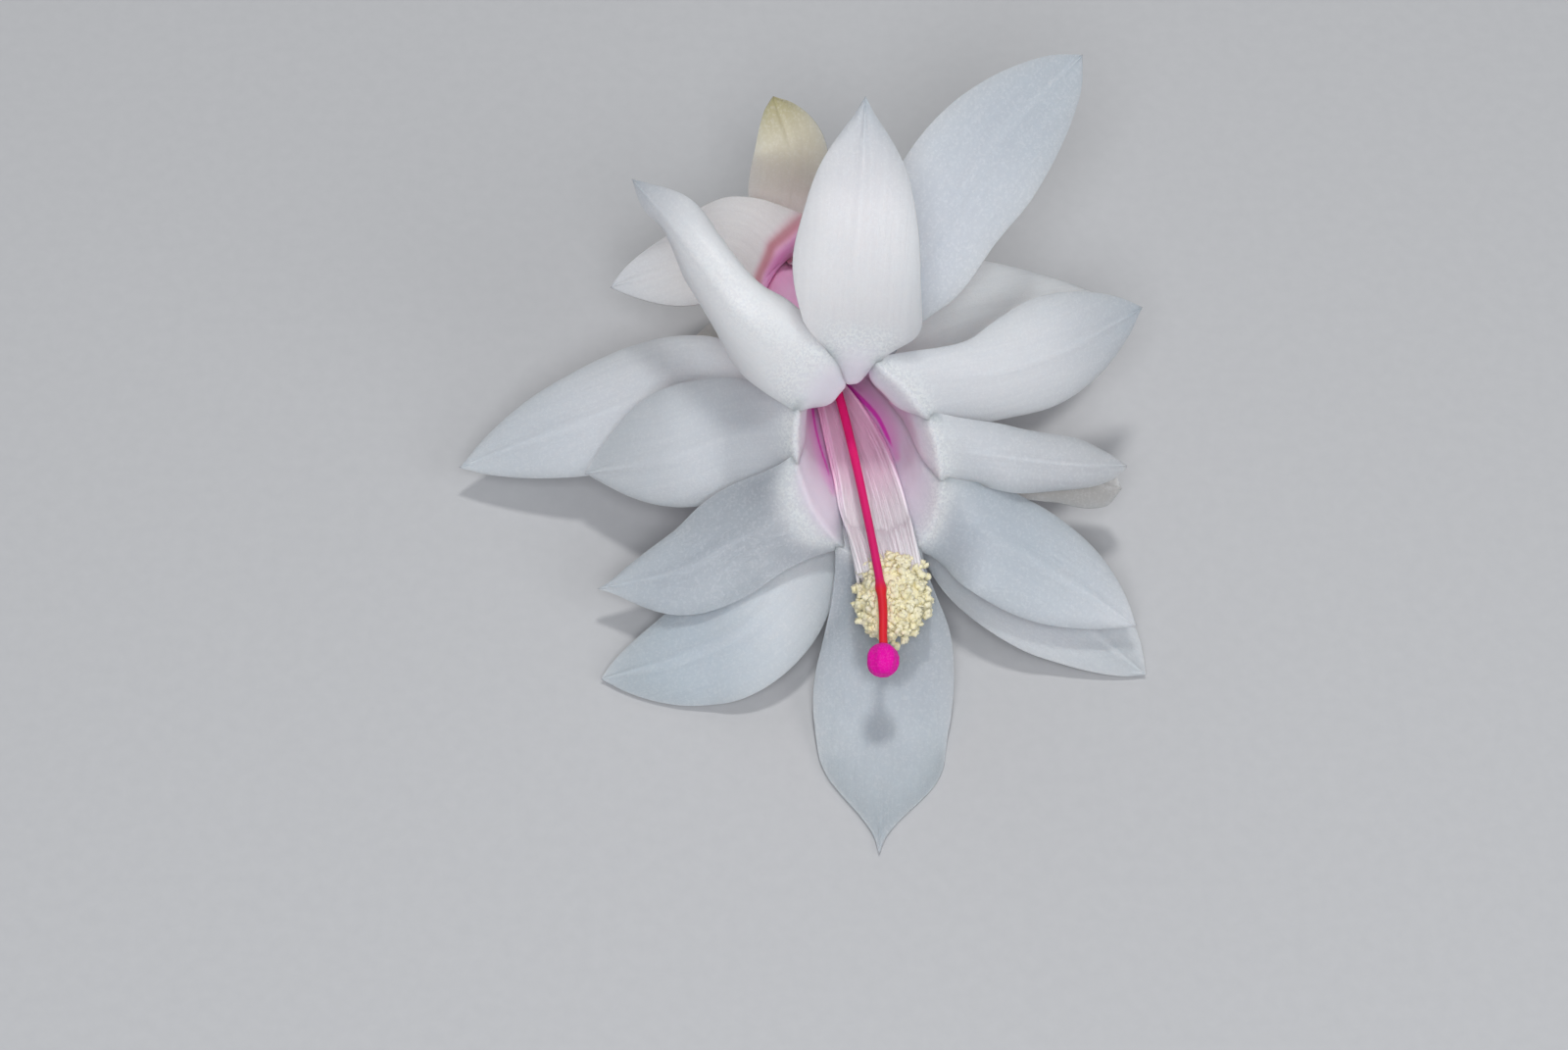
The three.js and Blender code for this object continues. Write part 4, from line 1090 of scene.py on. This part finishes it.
class BloomColours(bpy.types.PropertyGroup):
    """Colours that a user may change."""

    petal_cool: colour("Petal shade", "Cool cloudy shade in the petals", (0.88, 0.91, 0.96))
    # Painted highlight on the fold and the midline.
    petal_highlight: colour("Fold highlight", "Bright cells where a petal folds out", (1.0, 1.0, 1.0))
    # Also darkens the cells between the painted glints on the fold.
    vein_and_glint_dark: colour("Petal vein and glint shade", "Darker veins along the petals", (0.82, 0.82, 0.85))
    petal_blush: colour("Petal blush", "Pink where a petal leaves the tube", (1.0, 0.34, 0.66))
    petal_blush_edge: colour("Blush edge", "Brownish red edge of the blush", (0.44, 0.13, 0.15))
    throat_pink: colour("Throat pink", "Pale lilac pink inside the throat", (0.97, 0.77, 0.95))
    throat_flush: colour("Throat flush", "Pink round the creases", (1.0, 0.34, 0.70))
    throat_magenta: colour("Throat magenta", "The thin creases", (1.0, 0.03, 0.50))
    throat_deep: colour("Deep throat", "The bottom of the throat", (1.0, 0.60, 0.84))
    tube_pink: colour("Tube pink", "The tube's outside", (1.0, 0.50, 0.75))
    style_crimson: colour("Style crimson", "The style in the throat", (0.68, 0.014, 0.165))
    style_red: colour("Style red", "The style near the stigma", (0.72, 0.022, 0.028))
    style_dark: colour("Style shadow", "Streaks in the style", (0.52, 0.004, 0.06))
    stigma_magenta: colour("Stigma magenta", "The stigma", (0.82, 0.0, 0.39))
    stigma_dark: colour("Stigma shade", "Darker blotches on the stigma", (0.74, 0.006, 0.34))
    # Painted highlight on the papillae.
    stigma_light: colour("Stigma light", "Papillae on the stigma", (0.95, 0.16, 0.62))
    filament_pink: colour("Filament pink", "Filaments in the throat", (1.0, 0.60, 0.82))
    filament_white: colour("Filament white", "Filaments near the anthers", (0.97, 0.89, 0.95))
    pollen_cream: colour("Pollen cream", "Pale pollen", (0.97, 0.92, 0.68))
    pollen_yellow: colour("Pollen yellow", "Yellower pollen", (0.95, 0.87, 0.54))
    pollen_light: colour("Pollen light", "Light grains", (0.97, 0.95, 0.78))
    pollen_dark: colour("Pollen shade", "Pollen in the gaps", (0.88, 0.77, 0.46))
    pericarpel_green: colour("Pericarpel green", "Young fruit", (0.24, 0.27, 0.08))
    pericarpel_brown: colour("Pericarpel brown", "Brownish blotches", (0.30, 0.22, 0.09))
    pericarpel_light: colour("Pericarpel light", "Light grain", (0.42, 0.46, 0.20))
    floor_grey: colour("Floor", "The pale floor", (0.53, 0.54, 0.555))


def settings(context):
    """The scene's sizes and colours."""
    return context.scene.bloom_sizes, context.scene.bloom_colours


class BLOOM_OT_stage(bpy.types.Operator):
    """Make the floor, the lights and the camera"""

    bl_idname = "bloom.stage"
    bl_label = "Stage"
    bl_options = {"REGISTER", "UNDO"}

    def execute(self, context):
        make_stage(context.scene.bloom_colours)
        return {"FINISHED"}


class BLOOM_OT_tube(bpy.types.Operator):
    """Make the floral tube and the pericarpel"""

    bl_idname = "bloom.tube"
    bl_label = "Floral tube and pericarpel"
    bl_options = {"REGISTER", "UNDO"}

    def execute(self, context):
        make_tube(context.scene.bloom_colours)
        make_pericarpel(context.scene.bloom_colours)
        return {"FINISHED"}


class BLOOM_OT_tepals(bpy.types.Operator):
    """Make the inner, outer and basal tepals"""

    bl_idname = "bloom.tepals"
    bl_label = "Tepals"
    bl_options = {"REGISTER", "UNDO"}

    def execute(self, context):
        sizes, colours = settings(context)
        white = petal_finish("petal_tissue", colours, gloss=0.34, fill=0.92, edge_strength=0.0)
        beige = petal_finish("basal_tissue", colours, gloss=0.40, fill=0.7, edge_strength=0.75)
        tepals = {**INNER_TEPALS, **OUTER_TEPALS, **BASAL_TEPALS}
        for number, (name, values) in enumerate(tepals.items(), 1):
            look = ("beige_tepal", beige) if name in BASAL_TEPALS else ("white_tepal", white)
            make_tepal(name, values, number, *look, sizes)
        return {"FINISHED"}


class BLOOM_OT_style(bpy.types.Operator):
    """Make the style and the stigma"""

    bl_idname = "bloom.style"
    bl_label = "Style and stigma"
    bl_options = {"REGISTER", "UNDO"}

    def execute(self, context):
        make_style(*settings(context))
        make_stigma(*settings(context))
        return {"FINISHED"}


class BLOOM_OT_stamens(bpy.types.Operator):
    """Make the filaments and the anthers"""

    bl_idname = "bloom.stamens"
    bl_label = "Filaments and anthers"
    bl_options = {"REGISTER", "UNDO"}

    def execute(self, context):
        make_filaments(*settings(context))
        make_anthers(*settings(context))
        return {"FINISHED"}


class BLOOM_PT_panel(bpy.types.Panel):
    """Lists the bloom's operators, sizes and colours."""

    bl_idname = "BLOOM_PT_panel"
    bl_label = "Picked bloom"
    bl_space_type = "VIEW_3D"
    bl_region_type = "UI"
    bl_category = "Bloom"

    def draw(self, context):
        column = self.layout.column()
        for operator in OPERATORS:
            column.operator(operator.bl_idname)
        for group in settings(context):
            box = self.layout.box()
            for label in group.__annotations__:
                box.prop(group, label)


OPERATORS = (BLOOM_OT_stage, BLOOM_OT_tube, BLOOM_OT_tepals, BLOOM_OT_style, BLOOM_OT_stamens)
CLASSES = (BloomSizes, BloomColours, *OPERATORS, BLOOM_PT_panel)


def register():
    """Add the classes and the scene's settings."""
    for item in CLASSES:
        bpy.utils.register_class(item)
    bpy.types.Scene.bloom_sizes = bpy.props.PointerProperty(type=BloomSizes)
    bpy.types.Scene.bloom_colours = bpy.props.PointerProperty(type=BloomColours)


def unregister():
    """Take the settings and the classes away again."""
    del bpy.types.Scene.bloom_colours
    del bpy.types.Scene.bloom_sizes
    for item in reversed(CLASSES):
        bpy.utils.unregister_class(item)


def main():
    """Make every piece in order."""
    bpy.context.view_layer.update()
    register()
    bpy.ops.bloom.stage()
    bpy.ops.bloom.tube()
    bpy.ops.bloom.tepals()
    bpy.ops.bloom.style()
    bpy.ops.bloom.stamens()


if __name__ == "__main__":
    main()
